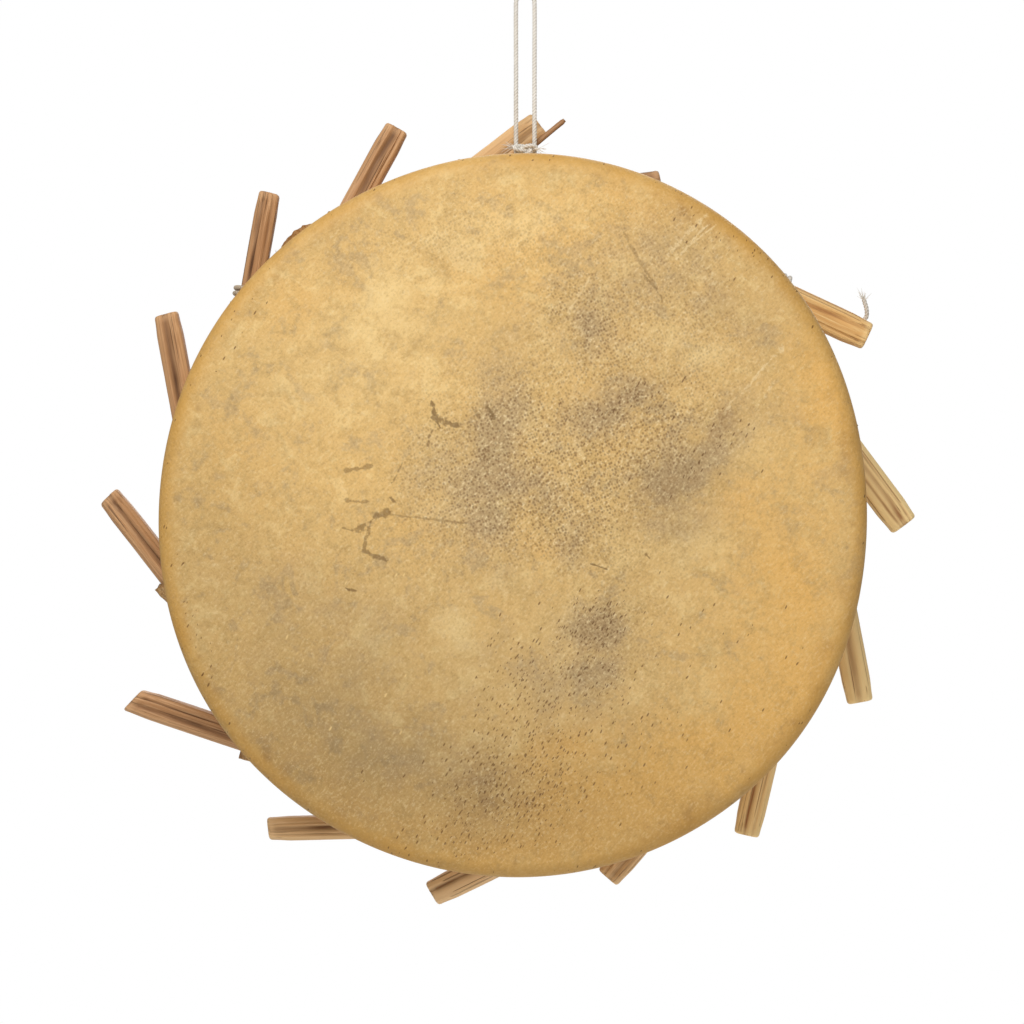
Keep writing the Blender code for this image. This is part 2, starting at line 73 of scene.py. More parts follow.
# ---------------------------------------------------------------- small shared helpers
def tone(red: float, green: float, blue: float) -> Colour:
    """Turn a colour of 0 to 255 as seen on a screen into linear light, 0 to 1."""
    seen = np.array((red, green, blue)) / 255.0
    linear = np.where(seen <= 0.04045, seen / 12.92, ((seen + 0.055) / 1.055) ** 2.4)
    return tuple(float(share) for share in linear)


def ease(share: Array) -> Array:
    """Rise smoothly from 0 to 1: 3t^2 - 2t^3 of the share held between 0 and 1."""
    share = np.clip(share, 0.0, 1.0)
    return share * share * (3.0 - 2.0 * share)


def lattice_noise(points: Array, seed: int) -> Array:
    """Give smooth random values, about -1 to 1, at points in space.

    Each whole-number corner of space has one random value, and a point takes the mean of
    its eight corners' values, weighted by the eased distance along each axis.

    Args:
        points: Places, with three numbers in the last axis, in units of the noise's grain.
        seed: Number of the random table.

    Returns:
        One value for each point.
    """
    table = np.random.default_rng(seed)
    order = table.permutation(256)
    values = table.uniform(-1.0, 1.0, 256)
    low = np.floor(points).astype(int)
    share = points - low
    share = share * share * (3.0 - 2.0 * share)
    total = np.zeros(points.shape[:-1])
    for corner in np.ndindex(2, 2, 2):
        step = np.array(corner)
        cell = (low + step) & 255
        index = order[(order[(order[cell[..., 0]] + cell[..., 1]) & 255] + cell[..., 2]) & 255]
        weight = np.where(step == 1, share, 1.0 - share).prod(axis=-1)
        total += weight * values[index]
    return total


def rough_noise(points: Array, seed: int, layers: int = 3) -> Array:
    """Add layers of lattice noise, each twice as fine and half as strong as the last.

    Args:
        points: Places in units of the coarsest grain.
        seed: Number of the first random table.
        layers: How many layers are added.

    Returns:
        One value for each point, about -1 to 1.
    """
    total = sum(
        lattice_noise(points * 2.0**layer, seed + layer) / 2.0**layer
        for layer in range(layers)
    )
    return total / (2.0 - 2.0 ** (1 - layers))


def noise_over(*place: Array | float, seed: int, layers: int = 3) -> Array:
    """Give rough noise at places whose three numbers come one by one."""
    return rough_noise(np.stack(np.broadcast_arrays(*place), axis=-1), seed, layers)


def full_turn(count: int) -> Array:
    """List angles once round a circle, in radians, without the last one twice."""
    return np.linspace(0.0, 2 * math.pi, count, endpoint=False)


def curve(a: Array, b: Array, c: Array, d: Array, t: Array) -> Array:
    """Catmull-Rom curve from b to c, with a before and d after, for t from 0 to 1."""
    return (2 * b + (c - a) * t + (2 * a - 5 * b + 4 * c - d) * t**2
            + (3 * b - a - 3 * c + d) * t**3) / 2


def distances(line: Array) -> Array:
    """Distance along a line to each of its points, in metres."""
    return np.concatenate([[0.0], np.cumsum(np.linalg.norm(np.diff(line, axis=0), axis=1))])


def smooth_line(points: Array) -> Array:
    """Draw an evenly spaced line through points, along Catmull-Rom curves.

    Args:
        points: The points, one in each row.

    Returns:
        The line's points.
    """
    points = np.asarray(points, float)
    padded = np.vstack([2 * points[0] - points[1], points, 2 * points[-1] - points[-2]])
    t = np.linspace(0.0, 1.0, SPAN_STEPS, endpoint=False)[None, :, None]
    fine = curve(*(padded[k : len(padded) - 3 + k, None] for k in range(4)), t)
    fine = np.vstack([fine.reshape(-1, 3), points[-1]])
    along = distances(fine)
    at = np.linspace(0.0, along[-1], max(4, round(along[-1] / LINE_STEP) + 1))
    return np.stack([np.interp(at, along, fine[:, k]) for k in range(3)], axis=1)


def carried_axes(line: Array) -> tuple[Array, Array]:
    """Carry two axes along a line without turning them about it.

    Args:
        line: The line's points.

    Returns:
        For each point, two unit axes across the line at right angles.
    """
    ahead = np.gradient(line, axis=0)
    ahead /= np.linalg.norm(ahead, axis=1)[:, None]
    start = np.cross(ahead[0], (0.0, 1.0, 0.0))
    if np.linalg.norm(start) < 0.1:
        start = np.cross(ahead[0], (1.0, 0.0, 0.0))
    sides = np.empty_like(line)
    for row, direction in enumerate(ahead):
        start = start - direction * (start @ direction)
        start = start / np.linalg.norm(start)
        sides[row] = start
    return sides, np.cross(ahead, sides)


def rings_round(line: Array, radius: Array, turn: Array) -> Array:
    """Place a ring of points round each point of a line."""
    sides, ups = carried_axes(line)
    return (line[:, None] + sides[:, None] * (radius * np.cos(turn))[..., None]
            + ups[:, None] * (radius * np.sin(turn))[..., None])


# ---------------------------------------------------------------- meshes
class Surface:
    """A mesh gathered from grids of points, with values kept at its points."""

    def __init__(self) -> None:
        """Start with no points."""
        self.points: list[Array] = []
        self.quads: list[Array] = []
        self.triangles: list[Array] = []
        self.values: dict[str, list[Array]] = {}
        self.count = 0

    def add_points(self, points: Array, values: dict[str, Array]) -> int:
        """Add points and their values, and return the number of the first."""
        first = self.count
        flat = points.reshape(-1, 3)
        self.points.append(flat)
        self.count += len(flat)
        for name, value in values.items():
            wide = value.reshape(len(flat), -1)
            self.values.setdefault(name, []).append(wide)
        return first

    def add_grid(self, points: Array, values: dict[str, Array], round_columns: bool) -> Array:
        """Add a grid of points and the quads between them.

        Args:
            points: Points by row and column.
            values: Values at the same points, by name.
            round_columns: True where the last column meets the first.

        Returns:
            The numbers of the grid's points, by row and column.
        """
        rows, columns = points.shape[:2]
        first = self.add_points(points, values)
        index = first + np.arange(rows * columns).reshape(rows, columns)
        here = index if round_columns else index[:, :-1]
        after = np.roll(index, -1, axis=1) if round_columns else index[:, 1:]
        self.quads.append(
            np.stack([here[:-1], after[:-1], after[1:], here[1:]], axis=-1).reshape(-1, 4)
        )
        return index

    def bridge(self, low: Array, high: Array, close: bool = False) -> None:
        """Join two equal rows of point numbers with quads."""
        if close:
            low, high = np.append(low, low[0]), np.append(high, high[0])
        self.quads.append(np.stack([low[:-1], low[1:], high[1:], high[:-1]], axis=-1))

    def cap(self, ring: Array, middle: Array, values: dict[str, Array], turn: bool) -> None:
        """Close a ring of point numbers with triangles to one middle point."""
        pole = self.add_points(middle.reshape(1, 3), values)
        after = np.roll(ring, -1)
        fan = np.stack([ring, after, np.full(len(ring), pole)], axis=-1)
        self.triangles.append(fan[:, ::-1] if turn else fan)

    def tube(
        self, rings: Array, values: dict[str, Array], poles: tuple[Array, Array] | None = None
    ) -> None:
        """Add rings of points as a closed tube, with a fan at each end."""
        index = self.add_grid(rings, values, round_columns=True)
        ends = poles or (rings[0].mean(axis=0), rings[-1].mean(axis=0))
        for row, middle, turn in ((0, ends[0], True), (-1, ends[1], False)):
            at_pole = {
                name: value[row].reshape(rings.shape[1], -1).mean(axis=0)[None]
                for name, value in values.items()
            }
            self.cap(index[row], middle, at_pole, turn)

    def shell(self, outer: Array, inner: Array, values: dict[str, Array]) -> None:
        """Add two grids of the same shape as the two faces of one closed sheet."""
        top = self.add_grid(outer, values, round_columns=False)
        low = self.add_grid(inner[:, ::-1], {k: v[:, ::-1] for k, v in values.items()},
                            round_columns=False)[:, ::-1]
        self.bridge(low[0], top[0])
        self.bridge(top[-1], low[-1])
        self.bridge(top[:, 0], low[:, 0])
        self.bridge(low[:, -1], top[:, -1])

    def make(self, name: str, finish: Material, sharp: float = 60.0) -> Piece:
        """Put the surface into a mesh object, with its faces outwards.

        The volume inside is the sum of a . (b x c) / 6 over its triangles; a surface whose
        sum is below zero is turned round.

        Args:
            name: The piece's name.
            finish: Its material.
            sharp: Angle in degrees above which an edge shows as a crease.

        Returns:
            The object.
        """
        points = np.concatenate(self.points)
        quads = np.concatenate(self.quads)
        fans = np.concatenate(self.triangles) if self.triangles else np.empty((0, 3), int)
        halves = np.concatenate([quads[:, [0, 1, 2]], quads[:, [0, 2, 3]], fans])
        a, b, c = (points[halves[:, k]] for k in range(3))
        if float((a * np.cross(b, c)).sum()) < 0.0:
            quads, fans = quads[:, ::-1], fans[:, ::-1]
        mesh = bpy.data.meshes.new(name)
        mesh.from_pydata(points.tolist(), [], quads.tolist() + fans.tolist())
        for key, parts in self.values.items():
            value = np.concatenate(parts).astype(np.float32)
            kind = "FLOAT_VECTOR" if value.shape[1] == 3 else "FLOAT"
            kept = mesh.attributes.new(key, kind, "POINT")
            kept.data.foreach_set("vector" if value.shape[1] == 3 else "value", value.ravel())
        mesh.materials.append(finish)
        mesh.shade_smooth()
        mesh.set_sharp_from_angle(angle=math.radians(sharp))
        mesh.update()
        made = bpy.data.objects.new(name, mesh)
        bpy.context.scene.collection.objects.link(made)
        return made


# ---------------------------------------------------------------- shader nodes
class Graph:
    """A node tree with short calls for the nodes that the finishes use."""

    def __init__(self, tree: bpy.types.NodeTree) -> None:
        """Keep the tree."""
        self.tree = tree

    def node(self, kind: str, **settings) -> Node:
        """Add a node and set its properties."""
        made = self.tree.nodes.new(kind)
        for name, value in settings.items():
            setattr(made, name, value)
        return made

    def put(self, socket: Socket, value) -> None:
        """Link a socket to another, or set its own value."""
        if isinstance(value, Socket):
            self.tree.links.new(value, socket)
        elif hasattr(value, "__len__") and len(value) == 3 and socket.type == "RGBA":
            socket.default_value = (*value, 1.0)
        elif value is not None:
            socket.default_value = value

    def fill(self, node: Node, **values) -> Node:
        """Give a node's inputs their values; underscores stand for spaces."""
        for name, value in values.items():
            self.put(node.inputs[name.replace("_", " ")], value)
        return node

    def math(self, operation: str, *values, clamp: bool = False) -> Socket:
        """Work out a sum of one, two or three numbers."""
        made = self.node("ShaderNodeMath", operation=operation, use_clamp=clamp)
        for socket, value in zip(made.inputs, values):
            self.put(socket, value)
        return made.outputs[0]

    def times(self, first, second) -> Socket:
        """Multiply two numbers."""
        return self.math("MULTIPLY", first, second)

    def less(self, first, second) -> Socket:
        """Take the second number from the first."""
        return self.math("SUBTRACT", first, second)

    def vector(self, operation: str, *values) -> Socket:
        """Work out a sum of vectors; a dot product or length gives a number."""
        made = self.node("ShaderNodeVectorMath", operation=operation)
        sockets = list(made.inputs)
        if operation == "SCALE":
            sockets = [made.inputs[0], made.inputs["Scale"]]
        for socket, value in zip(sockets, values):
            self.put(socket, value)
        number = operation in ("DOT_PRODUCT", "LENGTH", "DISTANCE")
        return made.outputs["Value" if number else "Vector"]

    def ranged(self, value, low: float, high: float, out_low=0.0, out_high=1.0):
        """Carry a value smoothly from one range to another, and hold it there."""
        made = self.node("ShaderNodeMapRange", interpolation_type="SMOOTHSTEP")
        return self.fill(made, Value=value, From_Min=low, From_Max=high, To_Min=out_low,
                         To_Max=out_high).outputs["Result"]

    def mix(self, share, first, second, blend: str = "MIX") -> Socket:
        """Mix two colours."""
        made = self.node("ShaderNodeMix", data_type="RGBA", blend_type=blend)
        self.put(made.inputs["Factor"], share)
        colours = [socket for socket in made.inputs if socket.type == "RGBA"]
        self.put(colours[0], first)
        self.put(colours[1], second)
        return next(s for s in made.outputs if s.type == "RGBA")

    def coats(self, colour, *layers: tuple) -> Socket:
        """Lay coats over a colour, each given as its share and its own colour."""
        for share, coat in layers:
            colour = self.mix(share, colour, coat)
        return colour

    def noise(self, place, scale, detail=3.0, rough=0.55, warp=0.0) -> Socket:
        """Read cloudy noise of 0 to 1 at a place; scale is in grains to the metre."""
        return self.fill(self.node("ShaderNodeTexNoise"), Vector=place, Scale=scale,
                         Detail=detail, Roughness=rough, Distortion=warp).outputs[0]

    def cells(self, place, scale, loose=1.0) -> Node:
        """Read a pattern of cells at a place."""
        return self.fill(self.node("ShaderNodeTexVoronoi"), Vector=place, Scale=scale,
                         Randomness=loose)

    def shaded(self, colour, amount) -> Socket:
        """Multiply a colour by a number."""
        grey = self.node("ShaderNodeCombineColor")
        for socket in grey.inputs[:3]:
            self.put(socket, amount)
        return self.mix(1.0, colour, grey.outputs[0], "MULTIPLY")

    def wander(self, place, scale: float, reach) -> Socket:
        """Move a place about by smooth noise; reach is in metres."""
        cloud = self.fill(self.node("ShaderNodeTexNoise"), Vector=place, Scale=scale,
                          Detail=3.0)
        off = self.vector("SUBTRACT", cloud.outputs[1], (0.5, 0.5, 0.5))
        return self.vector("ADD", place, self.vector("SCALE", off, reach))

    def place(self) -> Socket:
        """Read the place on the object."""
        return self.node("ShaderNodeTexCoord").outputs["Object"]

    def turned(self, place, turn: Colour, stretch: Colour) -> Socket:
        """Turn a place about the axes, by degrees, and then stretch it."""
        first = self.fill(self.node("ShaderNodeMapping"), Vector=place,
                          Rotation=[math.radians(angle) for angle in turn])
        return self.fill(self.node("ShaderNodeMapping"), Vector=first.outputs[0],
                         Scale=stretch).outputs[0]

    def kept(self, name: str, vector: bool = False) -> Socket:
        """Read a value kept at the mesh's points."""
        made = self.node("ShaderNodeAttribute", attribute_name=name)
        return made.outputs["Vector" if vector else "Fac"]

    def group(self, effect: "Effect", **values) -> Node:
        """Place a shared effect with its own values; underscores stand for spaces."""
        return self.fill(self.node("ShaderNodeGroup", node_tree=effect.tree()), **values)

    def patches(self, place, scale: float, sharpness: float) -> Socket:
        """Read cloudy patches at a place."""
        return self.group(Effect.MOTTLING, Place=place, Scale=scale,
                          Sharpness=sharpness).outputs[0]

    def surface(self, **values) -> Node:
        """Add the shader and the material's output; underscores stand for spaces."""
        shader = self.node("ShaderNodeBsdfPrincipled")
        output = self.node("ShaderNodeOutputMaterial")
        self.tree.links.new(shader.outputs[0], output.inputs["Surface"])
        return self.fill(shader, **values)

    def bump(self, height, distance: float) -> Socket:
        """Turn a height of 0 to 1 into a normal; distance is in metres."""
        return self.fill(self.node("ShaderNodeBump"), Strength=1.0, Distance=distance,
                         Height=height).outputs[0]


class Effect(Enum):
    """A shared surface effect, built once as a node group."""

    MOTTLING = "mottling"
    FOLLICLES = "follicles"
    STUBBLE = "stubble"
    STREAK = "streak"
    FIBRES = "fibres"
    PITTING = "pitting"

    def tree(self) -> bpy.types.NodeTree:
        """Return the effect's node group, made on first use."""
        found = bpy.data.node_groups.get(self.value)
        return found or getattr(self, f"_{self.value}")()

    def _new(self, inputs: dict[str, object], outputs: dict[str, str]) -> tuple:
        """Make an empty group with named sockets.

        Args:
            inputs: Each input's name and resting value; None makes a vector.
            outputs: Each output's name and kind.

        Returns:
            The graph, its input sockets by name and its output node.
        """
        tree = bpy.data.node_groups.new(self.value, "ShaderNodeTree")
        for name, value in inputs.items():
            is_vector = value is None or hasattr(value, "__len__")
            kind = "NodeSocketVector" if is_vector else "NodeSocketFloat"
            made = tree.interface.new_socket(name, in_out="INPUT", socket_type=kind)
            if value is not None:
                made.default_value = value
        for name, kind in outputs.items():
            tree.interface.new_socket(name, in_out="OUTPUT", socket_type=f"NodeSocket{kind}")
        graph = Graph(tree)
        begin, end = graph.node("NodeGroupInput"), graph.node("NodeGroupOutput")
        return graph, begin.outputs, end

    def _mottling(self) -> bpy.types.NodeTree:
        """Cloudy patches: two sizes of warped noise, sharpened about their middle."""
        graph, given, end = self._new(
            {"Place": None, "Scale": 40.0, "Sharpness": 1.0}, {"Patches": "Float"}
        )
        broad = graph.noise(given["Place"], given["Scale"], 4.0, 0.6, 0.8)
        fine = graph.noise(given["Place"], graph.times(given["Scale"], 4.7), 3.0, 0.6)
        both = graph.math("MULTIPLY_ADD", fine, 0.35, graph.times(broad, 0.65))
        sharp = graph.times(graph.less(both, 0.5), given["Sharpness"])
        graph.put(end.inputs[0], graph.math("ADD", sharp, 0.5, clamp=True))
        return graph.tree

    def _follicles(self) -> bpy.types.NodeTree:
        """Rows of hair pores: stretched, nearly regular cells with a dimple in each."""
        graph, given, end = self._new(
            {"Place": None, "Scale": 800.0}, {"Pores": "Float", "Height": "Float"}
        )
        slanted = graph.turned(given["Place"], (0.0, 25.0, 0.0), (1.0, 0.6, 0.85))
        cells = graph.cells(slanted, given["Scale"], loose=0.6).outputs["Distance"]
        grains = graph.noise(given["Place"], graph.times(given["Scale"], 1.9), 2.0)
        graph.put(end.inputs["Pores"], graph.ranged(cells, 0.58, 0.22))
        height = graph.math("MULTIPLY_ADD", grains, 0.5, graph.ranged(cells, 0.0, 0.6))
        graph.put(end.inputs["Height"], height)
        return graph.tree

    def _stubble(self) -> bpy.types.NodeTree:
        """Short cut hairs: small slanted dashes, one in some of the cells."""
        graph, given, end = self._new(
            {"Place": None, "Scale": 420.0, "Slant": (0.0, 20.0, 0.0), "Thickness": 0.13,
             "Share": 0.5}, {"Hairs": "Float"}
        )
        first = graph.fill(graph.node("ShaderNodeMapping"), Rotation=given["Slant"],
                           Vector=graph.wander(given["Place"], 90.0, 0.0016))
        cells = graph.cells(graph.vector("MULTIPLY", first.outputs[0], (1.0, 0.4, 0.36)),
                            given["Scale"])
        random = graph.node("ShaderNodeSeparateColor")
        graph.put(random.inputs[0], cells.outputs["Color"])
        present = graph.math("LESS_THAN", random.outputs[0], given["Share"])
        wide = graph.times(given["Thickness"],
                          graph.math("ADD", random.outputs[1], 0.4))
        dash = graph.ranged(graph.math("DIVIDE", cells.outputs["Distance"], wide), 1.25, 0.7)
        graph.put(end.inputs[0], graph.times(dash, present))
        return graph.tree

    def _streak(self) -> bpy.types.NodeTree:
        """A ragged line between two places on the head, worn away in parts.

        Its strength falls with the distance to the line, |p - a - t(b - a)| with
        t = (p - a).(b - a) / (b - a).(b - a) held between 0 and 1.
        """
        graph, given, end = self._new(
            {"Place": None, "From": None, "To": None, "Width": 0.001, "Wander": 0.002,
             "Patchiness": 0.5}, {"Mask": "Float"}
        )
        place = graph.wander(given["Place"], 150.0, given["Wander"])
        run = graph.vector("SUBTRACT", given["To"], given["From"])
        reach = graph.vector("SUBTRACT", place, given["From"])
        share = graph.math("DIVIDE", graph.vector("DOT_PRODUCT", reach, run),
                           graph.vector("DOT_PRODUCT", run, run), clamp=True)
        away = graph.vector("LENGTH", graph.vector("SUBTRACT", reach,
                                                   graph.vector("SCALE", run, share)))
        swell = graph.noise(given["Place"], 260.0, 3.0, 0.7)
        width = graph.times(given["Width"],
                           graph.ranged(swell, 0.3, 0.7, 0.35, 2.1))
        near = graph.ranged(graph.math("DIVIDE", away, width), 1.0, 0.4)
        worn = graph.noise(given["Place"], 520.0, 3.0, 0.7)
        gap = graph.times(given["Patchiness"], 0.9)
        shown = graph.ranged(worn, graph.less(gap, 0.12),
                             graph.math("ADD", gap, 0.12))
        graph.put(end.inputs[0], graph.times(near, shown))
        return graph.tree

    def _fibres(self) -> bpy.types.NodeTree:
        """Long fibres: noise stretched along the first axis, fine and coarse, and splits."""
        graph, given, end = self._new(
            {"Grain": None, "Scale": 1.0},
            {"Streaks": "Float", "Splits": "Float", "Height": "Float"}
        )
        grain = graph.vector("SCALE", given["Grain"], given["Scale"])
        coarse = graph.noise(graph.vector("MULTIPLY", grain, (14.0, 560.0, 560.0)), 1.0, 3.0,
                             0.6, 0.3)
        fine = graph.noise(graph.vector("MULTIPLY", grain, (60.0, 2300.0, 2300.0)), 1.0, 2.0)
        split = graph.noise(graph.vector("MULTIPLY", grain, (16.0, 1050.0, 1050.0)), 1.0, 1.0,
                            0.5, 0.1)
        streaks = graph.math("MULTIPLY_ADD", fine, 0.5, graph.times(coarse, 0.5))
        splits = graph.ranged(split, 0.37, 0.31)
        graph.put(end.inputs["Streaks"], streaks)
        graph.put(end.inputs["Splits"], splits)
        height = graph.less(streaks, graph.times(splits, 0.6))
        graph.put(end.inputs["Height"], height)
        return graph.tree

    def _pitting(self) -> bpy.types.NodeTree:
        """Small pits and crumbs: cells of mixed size, kept where a second noise is high."""
        graph, given, end = self._new(
            {"Place": None, "Scale": 500.0, "Amount": 0.5}, {"Pits": "Float"}
        )
        cells = graph.cells(given["Place"], given["Scale"]).outputs["Distance"]
        where = graph.noise(given["Place"], graph.times(given["Scale"], 0.2), 3.0)
        level = graph.less(1.0, given["Amount"])
        shown = graph.ranged(where, level, graph.math("ADD", level, 0.1))
        graph.put(end.inputs[0], graph.times(graph.ranged(cells, 0.35, 0.1), shown))
        return graph.tree


def new_material(name: str) -> tuple[Material, Graph]:
    """Make an empty material and the graph that fills it."""
    made = bpy.data.materials.new(name)
    made.use_nodes = True
    made.node_tree.nodes.clear()
    return made, Graph(made.node_tree)


# ---------------------------------------------------------------- finishes
@dataclass(frozen=True)
class Mark:
    """A stain, crease or scratch on the head, in millimetres from its middle."""

    start: tuple[float, float]
    stop: tuple[float, float]
    width: float
    wander: float = 2.0
    patchy: float = 0.4
    strength: float = 1.0

    def mask(self, graph: Graph, place) -> Socket:
        """Give the mark's strength at a place."""
        ends = [
            tuple(CENTRE + np.array((x, 0.0, z)) * MM) for x, z in (self.start, self.stop)
        ]
        made = graph.group(Effect.STREAK, Place=place, From=ends[0], To=ends[1],
                           Width=self.width * MM, Wander=self.wander * MM,
                           Patchiness=self.patchy)
        return graph.times(made.outputs[0], self.strength)


def marks(*rows: tuple[float, ...]) -> tuple[Mark, ...]:
    """Make marks from rows: both ends, width, wander, patchiness and strength."""
    return tuple(Mark(row[:2], row[2:4], *row[4:]) for row in rows)


STAIN, SCRATCH = tone(118, 88, 46), tone(244, 218, 166)
# Tones laid on the fine grain: the pale one is partly painted highlight on its ridges and the dark
# one partly painted shade in its hollows, both partly the hide's own speckle.
PALE_SPECKLE_AND_HIGHLIGHT, DARK_SPECKLE_AND_SHADE = tone(242, 218, 168), tone(128, 92, 52)
STAINS = marks(
    (-34.5, 47.5, -31.5, 37.0, 1.1, 3.0, 0.35, 0.75),
    (-34.0, 40.5, -24.0, 37.5, 1.3, 4.0, 0.42, 0.7),
    (-32.0, 41.0, -37.0, 29.0, 0.6, 2.0, 0.5, 0.6), (-11.5, 45.5, -9.0, 41.0, 1.1, 2.0, 0.3, 0.7),
    (-18.0, 45.5, -15.0, 41.0, 0.8, 2.0, 0.4, 0.45),
    (-70.0, 19.0, -60.0, 21.0, 0.9, 2.0, 0.35, 0.55),
    (-69.5, 6.5, -62.0, 6.0, 0.9, 1.6, 0.35, 0.5), (-65.0, -5.0, -52.0, 1.5, 1.1, 4.5, 0.42, 0.65),
    (-60.5, -4.0, -62.5, -14.0, 0.8, 3.0, 0.4, 0.6),
    (-62.5, -14.0, -53.5, -19.0, 1.0, 3.0, 0.38, 0.65),
    (-71.5, -5.0, -67.5, -6.0, 0.6, 1.0, 0.3, 0.55), (-51.5, 7.5, -50.0, 6.0, 0.8, 0.6, 0.0, 0.7),
    (-51.0, 14.0, -47.0, 22.0, 0.4, 2.0, 0.42, 0.5), (-52.0, 0.8, -20.0, -3.0, 0.5, 1.5, 0.3, 0.4),
    (-70.5, -29.8, -69.0, -30.5, 0.5, 0.3, 0.0, 0.8),
    (-68.0, -30.6, -66.0, -31.2, 0.5, 0.3, 0.0, 0.7),
    (45.0, 118.0, 61.5, 90.0, 0.7, 3.0, 0.42, 0.35),
    (54.0, 100.0, 61.0, 91.0, 0.7, 2.0, 0.25, 0.5), (31.5, -20.0, 38.0, -22.0, 0.5, 1.0, 0.2, 0.7),
    (54.5, -16.0, 56.0, -17.5, 0.5, 0.6, 0.1, 0.6),
)
SCRATCHES = marks(
    (62.5, 108.0, 83.0, 129.0, 0.9, 2.5, 0.52, 0.5),
    (67.0, 107.0, 80.0, 121.0, 0.5, 2.0, 0.48, 0.5),
    (72.0, 112.0, 87.0, 124.0, 0.5, 2.0, 0.48, 0.5),
    (86.5, 43.0, 112.0, 71.0, 0.6, 4.0, 0.5, 0.45),
    (100.0, 44.0, 108.0, 56.0, 0.6, 3.0, 0.5, 0.45), (22.0, 85.0, 31.0, 99.0, 0.5, 2.0, 0.5, 0.4),
)


@dataclass(frozen=True)
class SkinFinish:
    """Dry goat skin: mottled tan with pores, cut hairs, stains and a golden rim, with painted
    shade at the rim's outline, broad painted shading, and painted highlights and shade on the fine
    grain.
    """

    name: str
    plain: Colour
    warm: Colour
    grey: Colour
    pale: Colour
    dark: Colour
    rim: Colour
    flesh: Colour
    hair: Colour
    marked: bool
    roughness: float
    relief: float

    def build(self) -> Material:
        """Make the material."""
        made, graph = new_material(self.name)
        place = graph.place()
        broad = graph.patches(place, 26.0, 2.2)
        small = graph.patches(place, 120.0, 2.6)
        pores = graph.group(Effect.FOLLICLES, Place=place, Scale=820.0)
        shifted = graph.vector("ADD", place, (0.31, 0.17, 0.23))
        speck = graph.noise(shifted, 1150.0, 3.0, 0.75)
        creased = graph.noise(graph.turned(shifted, (0.0, -40.0, 0.0), (1.0, 1.0, 0.42)),
                              900.0, 3.0, 0.65)
        fine = graph.math("MULTIPLY_ADD", speck, 0.45, graph.times(creased, 0.55))

        def felt(key: str, push: float, most: float) -> Socket:
            """A kept field, broken up by the small patches where it is weak."""
            rough = graph.math("MULTIPLY_ADD", graph.less(small, 0.5), push,
                               graph.kept(key))
            return graph.times(graph.ranged(rough, -0.05, 1.15), most)

        patchy = graph.patches(place, 62.0, 3.0)
        colour = graph.coats(
            self.plain, (graph.times(broad, 0.4), self.warm),
            (graph.ranged(patchy, 0.56, 0.86, 0.0, 0.55), self.pale),
            (graph.ranged(patchy, 0.44, 0.1, 0.0, 0.5), self.grey),
            (felt("warm", 0.5, 1.0), self.warm), (felt("pale", 0.6, 1.0), self.pale),
            (felt("grey", 0.7, 0.8), self.grey), (felt("dark", 0.8, 0.8), self.dark))
        # Small patches vary the tone at random; the painted shading darkens the lower left and the
        # bottom and lightens the top.
        light = graph.times(graph.ranged(small, 0.0, 1.0, 0.85, 1.12),
                           graph.less(1.0, graph.kept("painted_shading")))
        colour = graph.shaded(colour, light)
        grained = graph.math("MULTIPLY_ADD", graph.kept("pores"), 0.6, 0.4)
        depth = graph.math("MULTIPLY_ADD", graph.kept("pores"), 0.5, 0.03)
        colour = graph.coats(
            colour,
            # Painted highlights where the fine grain stands high and painted shade where it lies
            # low, partly the hide's own speckle.
            (graph.times(graph.ranged(fine, 0.50, 0.64, 0.0, 0.72), grained), PALE_SPECKLE_AND_HIGHLIGHT),
            (graph.times(graph.ranged(fine, 0.49, 0.36, 0.0, 0.5), grained), DARK_SPECKLE_AND_SHADE),
            (graph.times(pores.outputs["Pores"], depth), self.hair),
            # Rim band: the hide's golden-brown tone at its turn, strongest at the outline; the
            # darkening towards the outline is painted shade where the skin turns away from the
            # light.
            (graph.times(graph.kept("rim"), 0.85), self.rim),
            (graph.kept("flesh"), self.flesh))
        if self.marked:
            colour = self._marks(graph, place, colour)
        height = graph.math("MULTIPLY_ADD", pores.outputs["Height"], 0.5,
                            graph.times(speck, 0.35))
        height = graph.math("MULTIPLY_ADD", creased, 0.6,
                            graph.math("MULTIPLY_ADD", small, 0.5, height))
        rough = graph.ranged(small, 0.0, 1.0, self.roughness - 0.07, self.roughness + 0.09)
        graph.surface(Base_Color=colour, Roughness=rough, Specular_IOR_Level=0.35,
                      Normal=graph.bump(height, self.relief * MM))
        return made

    def _marks(self, graph: Graph, place, colour) -> Socket:
        """Lay cut hairs, stains and scratches over the colour."""
        for slant, scale, least in ((-30.0, 760.0, 0.0), (-16.0, 900.0, 0.05),
                                    (-42.0, 840.0, 0.15)):
            share = graph.less(graph.kept("stubble"), least)
            hairs = graph.group(Effect.STUBBLE, Place=place, Scale=scale, Share=share,
                                Thickness=0.2, Slant=(0.0, math.radians(slant), 0.0))
            colour = graph.mix(graph.times(hairs.outputs[0], 0.75), colour,
                               self.hair)
        flecks = graph.group(Effect.STUBBLE, Place=place, Scale=300.0, Share=0.35,
                             Thickness=0.10, Slant=(0.0, -0.5, 0.0)).outputs[0]
        colour = graph.mix(graph.times(flecks, graph.kept("flecks")), colour,
                           self.pale)
        front = graph.less(1.0, graph.kept("flesh"))
        for marks, stain in ((STAINS, STAIN), (SCRATCHES, SCRATCH)):
            total = marks[0].mask(graph, place)
            for mark in marks[1:]:
                total = graph.math("MAXIMUM", total, mark.mask(graph, place))
            colour = graph.mix(graph.times(total, front), colour, stain)
        return colour


